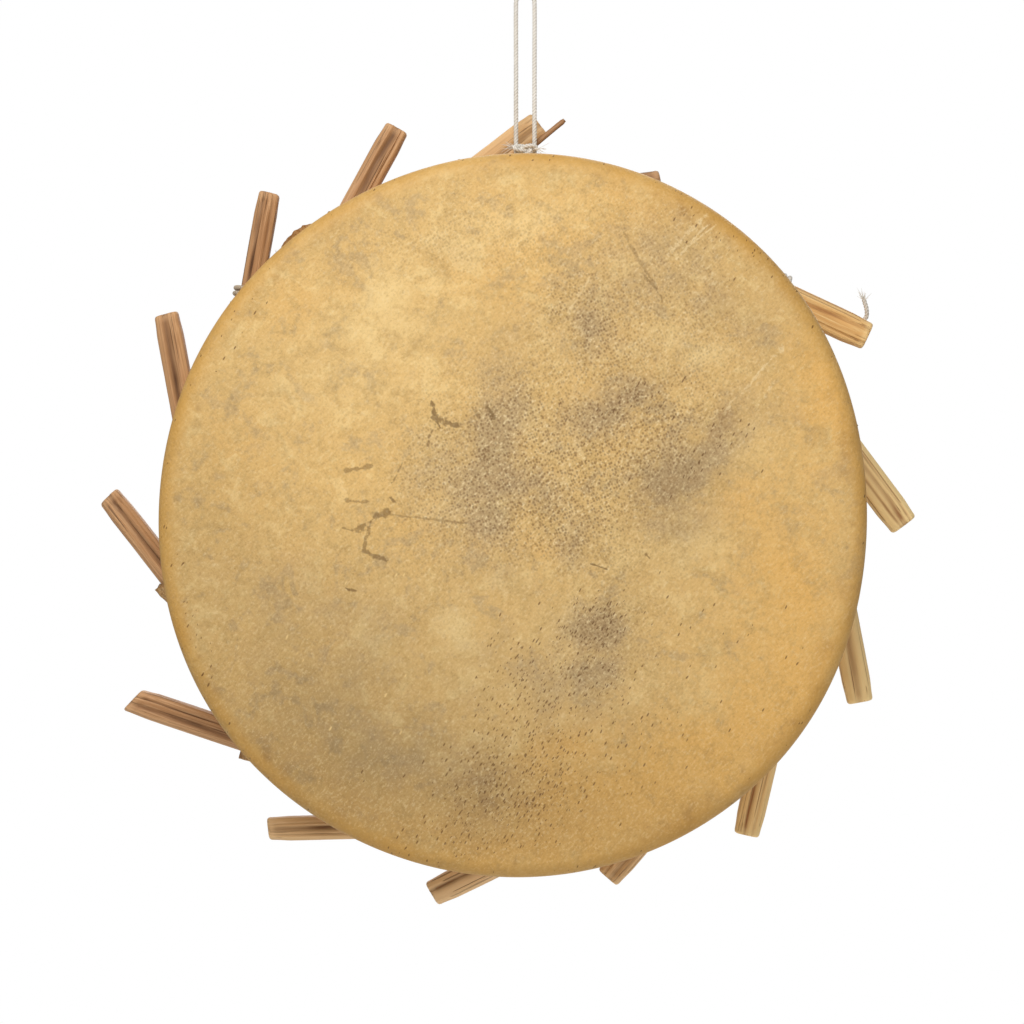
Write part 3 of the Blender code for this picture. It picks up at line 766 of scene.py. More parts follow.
HEAD_FINISH = SkinFinish(
    "goat_skin", plain=tone(216, 179, 114), warm=tone(228, 177, 96), grey=tone(176, 150, 110),
    pale=tone(238, 205, 140), dark=tone(142, 104, 56), rim=tone(204, 152, 68),
    flesh=tone(212, 182, 134), hair=tone(104, 68, 28), marked=True, roughness=0.55, relief=0.2,
)
MARGIN_FINISH = SkinFinish(
    "goat_skin_margin", plain=tone(196, 152, 96), warm=tone(208, 158, 92),
    grey=tone(150, 122, 86), pale=tone(222, 186, 130), dark=tone(128, 88, 50),
    rim=tone(170, 118, 66), flesh=tone(196, 162, 116), hair=tone(96, 66, 38), marked=False,
    roughness=0.6, relief=0.35,
)


@dataclass(frozen=True)
class ClayFinish:
    """Fired clay: brick red with smoke-darkened patches, pits and a dusty bloom."""

    name: str = "fired_clay"

    def build(self) -> Material:
        """Make the material."""
        made, graph = new_material(self.name)
        place = graph.place()
        broad = graph.patches(place, 30.0, 2.4)
        small = graph.patches(place, 260.0, 1.8)
        pits = graph.group(Effect.PITTING, Place=place, Scale=520.0, Amount=0.5).outputs[0]
        wiped = graph.noise(graph.vector("MULTIPLY", place, (60.0, 900.0, 60.0)), 1.0, 3.0)
        colour = graph.coats(
            tone(150, 88, 60), (broad, tone(178, 112, 78)),
            (graph.times(small, 0.35), tone(120, 72, 52)),
            (graph.ranged(broad, 0.34, 0.10), tone(84, 58, 48)),
            (graph.times(pits, 0.7), tone(74, 44, 34)),
            (graph.ranged(wiped, 0.5, 0.85, 0.0, 0.35), tone(204, 164, 132)))
        height = graph.less(graph.math("MULTIPLY_ADD", wiped, 0.5, small),
                            graph.times(pits, 1.2))
        graph.surface(Base_Color=colour, Specular_IOR_Level=0.2,
                      Roughness=graph.ranged(small, 0.0, 1.0, 0.78, 0.95),
                      Normal=graph.bump(height, 0.4 * MM))
        return made


@dataclass(frozen=True)
class WoodFinish:
    """Split palm rib: long fibres, darker grooves, pale worn edges and speckled end grain."""

    name: str
    light: Colour
    mid: Colour
    deep: Colour
    end: Colour
    roughness: float = 0.58

    def build(self) -> Material:
        """Make the material."""
        made, graph = new_material(self.name)
        grain = graph.kept("grain", vector=True)
        fibres = graph.group(Effect.FIBRES, Grain=grain, Scale=1.0)
        streaks = fibres.outputs["Streaks"]
        patches = graph.patches(grain, 55.0, 2.2)
        vessels = graph.cells(graph.vector("MULTIPLY", grain, (300.0, 1500.0, 1500.0)), 1.0)
        spots = graph.ranged(vessels.outputs["Distance"], 0.42, 0.2)
        colour = graph.coats(
            self.deep, (graph.ranged(streaks, 0.3, 0.48, 0.25, 1.0), self.mid),
            (graph.ranged(streaks, 0.49, 0.62), self.light),
            (graph.times(patches, 0.35), self.mid), (graph.kept("tint_and_painted_light"), self.light),
            (graph.times(fibres.outputs["Splits"], 0.75), self.deep),
            (graph.kept("groove"), self.deep),
            (graph.times(graph.kept("worn"), 0.55), self.light),
            (graph.kept("end"), self.end), (graph.times(spots, graph.kept("end")), self.deep))
        height = graph.less(fibres.outputs["Height"],
                            graph.times(spots, graph.kept("end")))
        rough = graph.ranged(streaks, 0.3, 0.7, self.roughness + 0.12, self.roughness - 0.08)
        graph.surface(Base_Color=colour, Roughness=rough, Specular_IOR_Level=0.35,
                      Normal=graph.bump(height, 0.32 * MM))
        return made


class Wood(Enum):
    """The kinds of wood, by material slot."""

    BROWN = WoodFinish("wood_brown", tone(222, 176, 128), tone(184, 134, 88),
                       tone(96, 62, 36), tone(172, 128, 86))
    TAN = WoodFinish("wood_tan", tone(240, 200, 148), tone(212, 164, 106), tone(124, 84, 46),
                     tone(204, 160, 110))
    # Its light and mid tones are lightened past the wood's own colour: painted light for pegs 10
    # to 12, which lie in the drum's shadow.
    ORANGE = WoodFinish("wood_orange", tone(255, 222, 158), tone(242, 190, 118),
                        tone(150, 92, 46), tone(226, 176, 114))


@dataclass(frozen=True)
class TwineFinish:
    """Undyed twisted cotton: off-white plies, greyer in the creases between them."""

    name: str = "cotton_twine"

    def build(self) -> Material:
        """Make the material."""
        made, graph = new_material(self.name)
        ply = graph.kept("ply")
        place = graph.kept("grain", vector=True)
        hairs = graph.group(Effect.FIBRES, Grain=place, Scale=3.0)
        soiled = graph.patches(graph.place(), 70.0, 2.0)
        dirt = graph.math("MAXIMUM", graph.times(soiled, 0.3), graph.kept("soil"))
        colour = graph.coats(
            tone(182, 171, 152), (graph.ranged(ply, 0.0, 0.7), tone(240, 236, 227)),
            (graph.ranged(hairs.outputs["Streaks"], 0.35, 0.7, 0.0, 0.5),
             tone(250, 248, 243)),
            (dirt, tone(166, 138, 98)))
        graph.surface(Base_Color=colour, Roughness=0.9, Specular_IOR_Level=0.15,
                      Sheen_Weight=0.25, Sheen_Roughness=0.5,
                      Normal=graph.bump(hairs.outputs["Height"], 0.2 * MM))
        return made


@dataclass
class Finishes:
    """Every material, built once."""

    def __post_init__(self) -> None:
        """Build them all."""
        self.head = HEAD_FINISH.build()
        self.margin = MARGIN_FINISH.build()
        self.clay = ClayFinish().build()
        self.wood = {wood: wood.value.build() for wood in Wood}
        self.twine = TwineFinish().build()


# ---------------------------------------------------------------- the drum's own shape
@dataclass(frozen=True)
class Rim:
    """The hand-shaped outline of the drum and the slope of its wall, in metres."""

    radius: float = 150.0 * MM
    depth: float = 45.0 * MM
    edge_round: float = 7.0 * MM
    back_round: float = 4.0 * MM
    eave: float = 7.0 * MM
    reach: float = 19.0 * MM  # from the rim in to the end of the lapped margin
    lobes: tuple = ((2, 0.0108, 75.0), (3, 0.0067, -53.0), (4, 0.0030, -42.0),
                    (6, 0.0015, -29.0))

    def at(self, bearing: Array) -> Array:
        """Radius of the rim: its mean, times 1 plus a cosine for each lobe."""
        waves = sum(
            share * np.cos(count * (bearing - math.radians(lead)))
            for count, share, lead in self.lobes
        )
        return self.radius * (1.0 + waves)

    def wall(self, bearing: Array, sink: Array) -> Array:
        """Radius of the wall at a depth behind the head."""
        run = self.depth - self.back_round - self.edge_round
        return self.at(bearing) - self.eave * (sink - self.edge_round) / run

    def profile(self, inside: float, arc: int, wall: int) -> Array:
        """List insets and depths from the head's edge round to the back.

        A quarter circle turns from the head to the wall, a straight line runs down the
        wall, and a second quarter circle turns onto the back.

        Args:
            inside: How far inside the skin's outer face the profile lies, in metres.
            arc: Steps in each quarter circle.
            wall: Steps down the wall.

        Returns:
            Inset and depth, one pair to a row.
        """
        turn = np.linspace(0.0, math.pi / 2, arc + 1)
        front, back = self.edge_round - inside, self.back_round - inside
        rim = np.stack([self.edge_round - front * np.sin(turn),
                        self.edge_round - front * np.cos(turn)], axis=1)
        lap = np.stack([self.eave + self.back_round - back * np.cos(turn),
                        self.depth - self.back_round + back * np.sin(turn)], axis=1)
        share = np.linspace(0.0, 1.0, wall + 1)[1:-1, None]
        return np.vstack([rim, rim[-1] + (lap[0] - rim[-1]) * share, lap])


RIM = Rim()


def in_frame(radius: Array, bearing: Array, sink: Array) -> Array:
    """Turn a radius, a bearing and a depth behind the head into a place in the frame."""
    radius, bearing, sink = np.broadcast_arrays(radius, bearing, sink)
    return CENTRE + np.stack([radius * np.cos(bearing), sink, radius * np.sin(bearing)], axis=-1)


@dataclass(frozen=True)
class PegPlace:
    """Where the frame puts a peg and the roll of skin round it, in metres."""

    number: int
    foot: Array
    axis: Array
    outwards: Array
    start: float
    tip: float
    width: float
    thick: float
    roll_start: float
    roll_end: float
    roll_inner: float
    roll_outer: float

    @classmethod
    def measured(cls, number: int) -> "PegPlace":
        """Read a peg's place from its joint, its node and its roll's node."""
        name = f"peg_{number:02d}"
        joint = next(j for j in frame["joints"] if j["child"] == name)
        foot, axis = np.array(joint["pos_m"], float), np.array(joint["axis"], float)
        outwards = np.array((-axis[2], 0.0, axis[0]))

        def local(node: str) -> Array:
            """Points of a node along the peg, outwards and towards the head."""
            mesh = frame["nodes"][node].data
            points = np.zeros(len(mesh.vertices) * 3, np.float32)
            mesh.vertices.foreach_get("co", points)
            away = points.reshape(-1, 3) - foot
            return np.stack([away @ axis, away @ outwards, away @ TOWARDS_HEAD], axis=1)

        stick, roll = local(name), local(f"skin_roll_{number:02d}")
        radii = np.hypot(roll[:, 1], roll[:, 2])
        middle = stick[np.abs(stick[:, 0] - stick[:, 0].mean()) < 0.5]
        spread = np.abs(middle[:, 1:]).max(axis=0) * 2.0
        return cls(number, foot, axis, outwards, float(stick[:, 0].min()),
                   float(stick[:, 0].max()), float(spread[0]), float(spread[1]),
                   float(roll[:, 0].min()), float(roll[:, 0].max()), float(radii.min()),
                   float(radii.max()))

    @property
    def offset(self) -> float:
        """How far the peg's axis passes from the drum's middle."""
        return float((self.foot - CENTRE) @ self.outwards)

    @property
    def sink(self) -> float:
        """How far behind the head the peg's axis lies."""
        return float(self.foot[1] - CENTRE[1])

    @property
    def foot_bearing(self) -> float:
        """Bearing of the foot from the drum's middle, in radians."""
        return math.atan2(self.outwards[2], self.outwards[0])

    def at(self, along: Array, out: Array, ahead: Array) -> Array:
        """Place given along the peg, outwards and towards the head."""
        along, out, ahead = (np.asarray(value)[..., None] for value in (along, out, ahead))
        return self.foot + along * self.axis + out * self.outwards + ahead * TOWARDS_HEAD

    def ring_radius(self) -> float:
        """Radius of a turn of twine round the peg."""
        close = self.roll_inner + TWINE / 2
        return close / math.cos(2.4 * TWINE / (2 * close))


# ---------------------------------------------------------------- the goat skin
@dataclass(frozen=True)
class Patch:
    """A soft patch on the head: its middle, its half sizes, its turn and its strength."""

    x: float
    z: float
    wide: float
    high: float
    turn: float
    strength: float

    def at(self, x: Array, z: Array) -> Array:
        """Strength at places in millimetres: exp(-d^2) with d the distance in half sizes."""
        angle = math.radians(self.turn)
        across, up = x - self.x, z - self.z
        along = (across * math.cos(angle) + up * math.sin(angle)) / self.wide
        over = (up * math.cos(angle) - across * math.sin(angle)) / self.high
        return self.strength * np.exp(-(along**2 + over**2))


def patches(*rows: tuple[float, ...]) -> tuple[Patch, ...]:
    """Make patches from rows: middle, half sizes, turn and strength."""
    return tuple(Patch(*row) for row in rows)


WARM = patches(
    (132, 52, 18, 34, 8, 0.95), (112, -22, 26, 30, 0, 0.55), (118, -78, 44, 34, 55, 0.95),
    (56, -112, 44, 26, 15, 0.95), (0, -136, 60, 22, 0, 0.8), (-80, -110, 40, 24, -40, 0.4),
    (20, -98, 18, 14, 0, 0.45), (10, 118, 30, 16, 0, 0.35), (60, 128, 34, 12, -20, 0.55),
    (-6, 92, 22, 12, 0, 0.3), (-92, 88, 20, 14, 30, 0.35), (-122, 26, 20, 30, 0, 0.25),
    (-118, -62, 14, 22, 0, 0.25), (100, 8, 16, 14, 0, 0.35), (-92, -12, 16, 20, 0, 0.2),
    (6, -18, 9, 9, 0, 0.45), (48, -2, 8, 10, 0, 0.2), (-46, -2, 18, 8, 0, 0.25),
)
PALE = patches(
    (-24, -48, 11, 10, 0, 0.75), (-56, -56, 8, 7, 0, 0.5), (2, 124, 26, 7, 8, 0.6),
    (-52, 92, 24, 16, 20, 0.55), (-62, 60, 36, 22, 0, 0.35), (-30, 22, 12, 20, 0, 0.3),
    (18, 70, 12, 16, 0, 0.3), (64, 78, 12, 8, -30, 0.4), (78, 66, 8, 6, 0, 0.55),
    (26, -40, 16, 10, 30, 0.45), (70, -12, 26, 10, 10, 0.5), (36, 8, 14, 8, 30, 0.35),
    (44, -14, 8, 8, 0, 0.35), (-28, 4, 12, 5, 0, 0.3), (20, 30, 8, 10, 0, 0.3),
    (6, -22, 8, 5, 0, 0.4), (96, 24, 10, 8, 0, 0.3), (64, 44, 14, 8, 0, 0.25),
)
GREY = patches(
    (-8, 44, 12, 18, -25, 0.6), (-14, 18, 22, 22, -30, 0.75), (-14, -4, 20, 11, 10, 0.5),
    (4, 10, 18, 16, 0, 0.4), (30, 84, 11, 20, -30, 0.7), (44, 46, 24, 10, 22, 0.7),
    (28, 38, 16, 11, 0, 0.3), (66, 14, 20, 15, 20, 0.8), (80, 28, 22, 11, 40, 0.6),
    (66, -4, 20, 8, 10, 0.55), (24, -12, 10, 12, -30, 0.55), (60, 110, 22, 20, 0, 0.55),
    (92, 88, 26, 16, -45, 0.5), (50, 66, 26, 20, 0, 0.25), (38, -50, 18, 16, 30, 0.7),
    (-62, -46, 30, 20, 0, 0.3), (-76, -84, 50, 30, -30, 0.4), (-44, -100, 26, 14, 0, 0.3),
    (0, -62, 30, 32, 60, 0.35), (30, -76, 30, 20, 20, 0.3), (-20, 112, 16, 10, 0, 0.3),
    (-96, -30, 26, 20, 0, 0.3), (96, 46, 14, 12, 0, 0.35), (10, -128, 40, 12, 5, 0.2),
    (-16, -114, 16, 14, 0, 0.4), (-2, 70, 16, 10, 20, 0.3), (-40, 20, 10, 16, 0, 0.25),
    (-14, -24, 18, 8, -10, 0.3),
)
# Dark patches: mottles on the head, and thin patches along the rim on the right and at the bottom
# that are painted shade where the rim turns away from the light.
DARK = patches(
    (-16, -116, 18, 11, -15, 0.3), (4, -112, 18, 9, 0, 0.25), (36, -50, 10, 9, 0, 0.25),
    (46, 48, 16, 5, 22, 0.28), (84, 36, 16, 6, 40, 0.35), (-132, -62, 8, 34, 22, 0.2),
    (74, -128, 48, 6, 26, 0.35), (116, -90, 26, 7, 50, 0.3), (118, 94, 36, 6, -52, 0.5),
    (78, 124, 24, 8, -28, 0.45), (-14, 22, 14, 10, -30, 0.25), (66, 12, 12, 7, 20, 0.3),
    (142, 24, 7, 30, 0, 0.35), (-70, 120, 24, 5, 34, 0.3), (-112, 84, 5, 22, -34, 0.25),
    (-96, -110, 34, 5, -44, 0.35), (134, -40, 6, 30, -16, 0.35), (30, 84, 5, 10, -30, 0.2),
)
# Painted shading: broad patches that darken the lower left, the left edge and the bottom of the
# head and lighten the top, standing in for light falling off towards the bottom.
PAINTED_SHADING = patches(
    (-84, -94, 62, 52, -40, 0.25), (-136, -10, 34, 50, 0, 0.14), (0, -130, 110, 44, 0, 0.21),
    (52, -24, 34, 22, 30, 0.07), (64, 18, 26, 18, 30, 0.08), (56, -100, 70, 40, 20, 0.05),
    (-40, 70, 60, 50, 30, -0.05), (0, 120, 60, 26, 0, -0.06), (100, 30, 30, 30, 0, -0.05),
    (-16, 4, 22, 20, 0, -0.03), (-60, 20, 40, 26, 0, -0.05),
)
STUBBLE = patches(
    (-16, -116, 20, 16, -20, 1.0), (4, -88, 16, 26, 20, 0.7), (32, -48, 18, 16, 30, 0.8),
    (-2, -62, 14, 16, 0, 0.55), (20, -108, 24, 14, 10, 0.55), (50, -84, 30, 20, 0, 0.2),
    (-8, -134, 34, 8, 0, 0.35), (90, -48, 34, 24, 0, 0.08), (22, -70, 20, 20, 0, 0.45),
    (46, 46, 22, 10, 20, 0.4), (78, 26, 24, 12, 40, 0.35), (-112, 84, 14, 10, 50, 0.3),
    (-136, -46, 6, 30, 18, 0.3), (84, 116, 24, 10, -30, 0.35),
)
PORES = patches(
    (-12, 22, 30, 36, -25, 1.0), (46, 34, 44, 34, 25, 1.0), (30, 84, 18, 20, -30, 0.8),
    (-10, 116, 50, 18, 5, 0.35), (20, -4, 34, 18, 0, 0.7), (70, 100, 34, 22, -40, 0.5),
    (-70, -20, 40, 40, 0, 0.1), (38, -50, 24, 20, 30, 0.6), (-6, -116, 30, 20, 0, 0.3),
)
FLECKS = patches((-70, -66, 44, 34, -20, 1.0), (-50, -36, 26, 14, 0, 0.7))


@dataclass(frozen=True)
class GoatSkin:
    """The hide: head, turn over the rim, sloping wall and the margin lapped on the back."""

    places: tuple[PegPlace, ...]
    columns: int = 512
    head_rows: int = 88
    thick: float = 1.0 * MM
    pleat_mm: float = 0.8
    bend_mm: float = 7.0  # how far noise carries a patch's outline

    def _relief(self, bearing: Array, sink: Array) -> Array:
        """How far the skin stands out from the plain wall, in metres.

        Pleats fan out from each roll: exp(-(b/0.15)^2) cos(70 b + n), with b the bearing
        from the middle of roll n. Smooth noise is added, and both grow with the eased depth
        to the power 1.5.
        """
        depth = ease((sink - 9.0 * MM) / (30.0 * MM)) ** 1.5
        fans = np.zeros_like(bearing)
        for place in self.places:
            middle = (place.roll_start + place.roll_end) / 2
            centre = place.foot_bearing - math.atan2(middle, place.offset)
            away = (bearing - centre + math.pi) % (2 * math.pi) - math.pi
            fans += np.exp(-((away / 0.15) ** 2)) * np.cos(70.0 * away + place.number)
        cosine, sine = np.cos(bearing), np.sin(bearing)
        broad = noise_over(cosine * 9.0, sink / (16.0 * MM), sine * 9.0, seed=3)
        fine = noise_over(cosine * 30.0, sink / (30.0 * MM), sine * 30.0, seed=8, layers=2)
        lift = 0.45 * fans + 0.5 * broad + 0.5 * fine
        return np.clip(self.pleat_mm * MM * depth * (0.35 + lift), -0.25 * MM, 1.3 * MM)

    def _fields(self, points: Array, sink: Array, flesh: bool) -> dict[str, Array]:
        """Values that the finish reads: tone patches, painted shading, hairs, pores, a rim band
        that is partly painted shade, and flesh side.
        """
        x, z = (points[..., 0] - CENTRE[0]) / MM, (points[..., 2] - CENTRE[2]) / MM
        place = points / MM
        bend = np.stack([rough_noise(place / 22.0, 20 + k) for k in (0, 10)], axis=-1)
        bend *= self.bend_mm
        ragged = 0.5 + 0.75 * rough_noise(place / 9.0, 50, 4)
        radius = np.hypot(x, z)
        limit = RIM.at(np.arctan2(z, x)) / MM - RIM.edge_round / MM
        on_head = ease((limit + 6.0 - radius) / 6.0)

        def total(patches: tuple[Patch, ...], rough: float) -> Array:
            """Sum of patches at bent places, made ragged."""
            field = sum(patch.at(x + bend[..., 0], z + bend[..., 1]) for patch in patches)
            return np.clip(field * (1.0 - rough + 2.0 * rough * ragged), 0.0, 1.0)

        side = 1.0 - on_head if not flesh else np.zeros_like(x)
        turn = ease((radius - limit + 3.0) / 8.0)
        back = ease((sink - 26.0 * MM) / (16.0 * MM))
        grime = np.exp(-(((radius - limit) / 5.0) ** 2)) * ease(
            1.3 * rough_noise(place / 4.0, 80, 4))
        shade = 0.5 + 0.5 * rough_noise(place / 14.0, 70, 3)
        return {
            "warm": total(WARM, 0.45) * on_head + 0.5 * side * shade,
            "pale": total(PALE, 0.5) * on_head,
            "grey": total(GREY, 0.6) * on_head,
            "dark": np.clip(total(DARK, 0.7) * (1.0 if not flesh else 0.0)
                            + 0.55 * back * shade + 0.5 * grime, 0.0, 1.0),
            "stubble": (total(STUBBLE, 0.6) * on_head + 0.25 * side * shade) * (not flesh),
            "pores": np.clip(total(PORES, 0.4), 0.0, 1.0),
            "flecks": total(FLECKS, 0.5) * on_head * (not flesh),
            # Painted shading: darker towards the lower left and the bottom, lighter at the top.
            "painted_shading": np.clip(sum(patch.at(x, z) for patch in PAINTED_SHADING), -0.1, 0.4) * (not flesh),
            # Rim band, strongest at the outline: partly the hide's golden tone, partly painted
            # shade where the skin turns away from the light.
            "rim": np.clip(turn * (0.65 + 0.5 * rough_noise(place / 18.0, 90)), 0.0, 1.0)
            * (1.0 - 0.4 * back),
            "flesh": np.full_like(x, 0.8 if flesh else 0.0),
        }

    def build(self, finish: Material) -> Piece:
        """Make the hide as one closed surface of rings, from the head's middle to its edge."""
        bearing = full_turn(self.columns)
        rim = RIM.at(bearing)
        edge = 1.0 + 0.06 * np.sin(9.0 * bearing) + 0.05 * noise_over(
            np.cos(bearing) * 9.0, np.sin(bearing) * 9.0, 0.0, seed=31)
        surface = Surface()
        faces = []
        for inside, arc, wall, rows, lap_rows in ((0.0, 12, 20, self.head_rows, 11),
                                                  (self.thick, 4, 8, 24, 4)):
            lap = RIM.profile(inside, arc, wall)
            share = (np.arange(1, rows) / rows)[:, None]
            head = (rim - RIM.edge_round) * share
            radius = [head, rim - lap[:, :1]]
            sink = [np.full_like(head, inside), np.repeat(lap[:, 1:], self.columns, axis=1)]
            inner_edge = (RIM.reach - lap[-1, 0]) * edge
            steps = np.linspace(0.0, 1.0, lap_rows)[1:, None]
            radius.append(rim - lap[-1, 0] - inner_edge * steps)
            sink.append(np.full_like(radius[-1], RIM.depth - inside))
            radius, sink = np.vstack(radius), np.vstack(sink)
            turn = np.broadcast_to(bearing, radius.shape)
            lift = self._relief(turn, sink)
            dent = in_frame(radius, turn, sink) / (26.0 * MM)
            hollow = 0.12 * MM * rough_noise(dent, 5, 3) * ease((radius < rim - 12 * MM) * 1.0)
            on_back = ease((sink - RIM.depth + 4.0 * MM) / (4.0 * MM))
            points = in_frame(radius + lift * (1.0 - on_back), turn,
                              sink + hollow + lift * on_back * 0.5)
            values = self._fields(points, sink, inside > 0.0)
            index = surface.add_grid(points, values, round_columns=True)
            middle = points[0].mean(axis=0)
            at_pole = {name: value[0].mean()[None] for name, value in values.items()}
            surface.cap(index[0], middle, at_pole, turn=inside == 0.0)
            if inside > 0.0:
                surface.quads[-1] = surface.quads[-1][:, ::-1]
            faces.append(index)
        surface.bridge(faces[0][-1], faces[1][-1], close=True)
        made = surface.make("goat_skin", finish)
        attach(made, ROOT_BODY)
        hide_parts("skin_head")
        return made


FRONT_LIP, BACK_LIP = math.radians(100.0), math.radians(-125.0)  # where a roll's sheet ends


@dataclass(frozen=True)
class SkinWrap:
    """The margin of the skin where it leaves the wall and is rolled round a peg."""

    place: PegPlace
    tongue: float = 0.0
    bead: float = 0.5 * MM  # swell of the back lip
    taper: float = 7.0 * MM  # length over which an end draws in
    hem_mm: float = 41.0  # how far behind the head its ends leave the wall
    rise_mm: float = 9.0  # how much nearer the head its middle does
    rows: int = 52
    around: int = 46

    def _paths(self, along: Array) -> tuple[Array, Array]:
        """Work out the outer and inner faces in the plane across the peg.

        The outer face runs up the wall, leaves it in a smooth curve and follows a circle
        round the peg to its back lip. The inner face runs inside the wall and the margin
        to the front lip and follows a smaller circle.

        Args:
            along: Distances along the peg, one for each row.

        Returns:
            Two arrays of outwards and ahead distances, by row and point.
        """
        place = self.place
        outer_r, inner_r = place.roll_outer, place.roll_inner
        ends = ease((along - place.roll_start) / self.taper) * ease(
            (place.roll_end - along) / self.taper)
        bearing = place.foot_bearing - np.arctan2(along, place.offset + outer_r)

        def wall_out(sink: Array) -> Array:
            """How far outwards of the axis the wall is at a depth."""
            radius = RIM.wall(bearing, sink)
            return np.sqrt(radius**2 - along**2) - place.offset

        low = (self.hem_mm - self.rise_mm * ends) * MM
        top = np.minimum(low + 3.5 * MM, 42.5 * MM)
        keys = [np.stack([wall_out(low) + 0.25 * MM, place.sink - low], axis=-1),
                np.stack([wall_out(top) + 0.7 * MM * ends, place.sink - top], axis=-1)]
        for turn in np.linspace(math.radians(18.0), BACK_LIP, 9):
            swell = outer_r + self.bead * math.exp(-(((turn + 2.15) / 0.25) ** 2))
            keys.append(np.stack([np.full_like(along, swell * math.cos(turn)),
                                  np.full_like(along, swell * math.sin(turn))], axis=-1))
        keys = np.stack(keys, axis=1)
        padded = np.concatenate([2 * keys[:, :1] - keys[:, 1:2], keys,
                                 2 * keys[:, -1:] - keys[:, -2:-1]], axis=1)
        at = np.linspace(0.0, keys.shape[1] - 1.0001, self.around)
        low_key = at.astype(int)
        t = (at - low_key)[None, :, None]
        outer = curve(*(padded[:, low_key + k] for k in range(4)), t)

        hidden = np.stack([wall_out(low) - 0.9 * MM, place.sink - low], axis=-1)
        corner = np.stack([wall_out(np.full_like(along, self.hem_mm * MM)) - 2.5 * MM,
                           np.full_like(along, place.sink - 43.6 * MM)], axis=-1)
        under = np.broadcast_to((outer_r * math.cos(FRONT_LIP),
                                 outer_r * math.sin(FRONT_LIP)), hidden.shape)
        stops = [hidden, corner, under]
        for turn in np.linspace(FRONT_LIP, BACK_LIP, self.around - 3):
            stops.append(np.broadcast_to((inner_r * math.cos(turn), inner_r * math.sin(turn)),
                                         hidden.shape))
        return outer, np.stack(stops, axis=1)

    def build(self, finish: Material) -> Piece:
        """Make the wrap as a closed sheet, creased round the peg."""
        place = self.place
        share = np.linspace(0.0, 1.0, self.rows)
        along = place.roll_start + (place.roll_end - place.roll_start) * share
        outer, inner = self._paths(along)
        around = np.linspace(0.0, 1.0, self.around)
        s, v = np.meshgrid(along / MM, around, indexing="ij")
        seed = 100 + 7 * place.number
        creases = noise_over(s / 3.2 + 1.5 * np.sin(3 * v), v * 2.2, 0.0, seed=seed)
        folds = noise_over(s / 9.0, v * 3.0, 5.0, seed=seed + 3)
        grown = ease(v * 5.0)
        lift = MM * grown * (0.42 * creases + 0.5 * folds + 0.15)
        direction = outer / np.linalg.norm(outer, axis=-1, keepdims=True)
        outer = outer + direction * lift[..., None]
        frayed = noise_over(v * 6.0, place.number, 0.0, seed=seed)
        ends = 2.0 * share - 1.0
        shift = MM * (1.6 * frayed - 3.0 * ease(np.abs(v - 0.45) * 2.4 - 0.5)) * (
            np.abs(ends[:, None]) ** 6) * np.sign(ends[:, None])
        strip = self.tongue * np.exp(-(((v - 0.2) / 0.15) ** 2)) * share[:, None] ** 3
        run = along[:, None] + shift + strip
        points = place.at(run, outer[..., 0], outer[..., 1])
        lining = place.at(run, inner[..., 0], inner[..., 1])
        dry = np.maximum(np.abs(ends[:, None]) ** 8, ease((v - 0.9) * 10.0))
        blotch = 0.5 + 0.5 * rough_noise(points / (7.0 * MM), seed + 9)
        plain = {
            "warm": 0.6 * blotch, "pale": 0.35 * ease(folds * 1.5), "grey": 0.3 * (1 - blotch),
            "dark": np.clip(0.55 * dry + 0.45 * ease(-creases * 2.0), 0.0, 1.0),
            "pores": 0.5 + 0 * v, "rim": 0.25 * dry, "flesh": 0 * v, "painted_shading": 0 * v,
        }
        surface = Surface()
        surface.shell(points, lining, plain)
        made = surface.make(f"skin_wrap_{place.number:02d}", finish)
        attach(made, ROOT_BODY)
        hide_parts(f"skin_roll_{place.number:02d}")
        return made


@dataclass(frozen=True)
class SkinFlap:
    """A loose, ruffled edge of the hide that stands out behind the rim."""

    start: float = 135.0
    stop: float = 120.5
    reach: float = 11.5 * MM
    from_back: float = 4.5 * MM
    thick: float = 1.0 * MM

    def build(self, finish: Material) -> Piece:
        """Make the flap.

        Its edge reaches out by 0.35 + 0.65 sin(pi u)^0.6 of its reach, for u from 0 to 1
        along it, and it lifts and dips by a sine of one and a half waves.
        """
        along, out = np.meshgrid(np.linspace(0.0, 1.0, 70), np.linspace(0.0, 1.0, 18),
                                 indexing="ij")
        bearing = np.radians(self.start + (self.stop - self.start) * along)
        root_sink = RIM.depth - self.from_back
        ragged = noise_over(along * 9.0, out, 0.0, seed=41)
        reach = self.reach * (0.35 + 0.65 * np.sin(math.pi * along) ** 0.6) * (
            1.0 + 0.10 * ragged * out)
        root = RIM.wall(bearing, np.full_like(along, root_sink)) - 1.2 * MM
        curl = 1.6 * MM * ease((out - 0.6) * 2.5) * np.sin(along * 9.0)
        sink = root_sink + 1.4 * MM * np.sin(3 * math.pi * along) * ease(out * 1.2) + curl
        sink = sink + 0.35 * MM * noise_over(along * 16.0, out * 3.0, 2.0,
                                             seed=43) * ease(out * 3)
        radius = root + (reach + 1.2 * MM) * out
        edge = np.maximum(ease((out - 0.82) * 6.0), ease(1.0 - 8.0 * along))
        values = {
            "warm": 0.5 + 0.4 * ragged, "pale": 0.2 * ease(ragged), "grey": 0.1 + 0 * out,
            "dark": np.clip(0.85 * edge + 0.3 * ease(-ragged), 0, 1),
            "pores": 0.5 + 0 * out, "rim": 0.4 + 0 * out, "flesh": 0 * out,
            "painted_shading": 0 * out,
        }
        half = self.thick / 2 * (1.0 - 0.45 * out)
        surface = Surface()
        front, back = (in_frame(radius, bearing, sink + side) for side in (-half, half))
        surface.shell(front, back, values)
        made = surface.make("skin_flap_ruffled", finish)
        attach(made, ROOT_BODY)
        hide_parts("skin_flap")
        return made


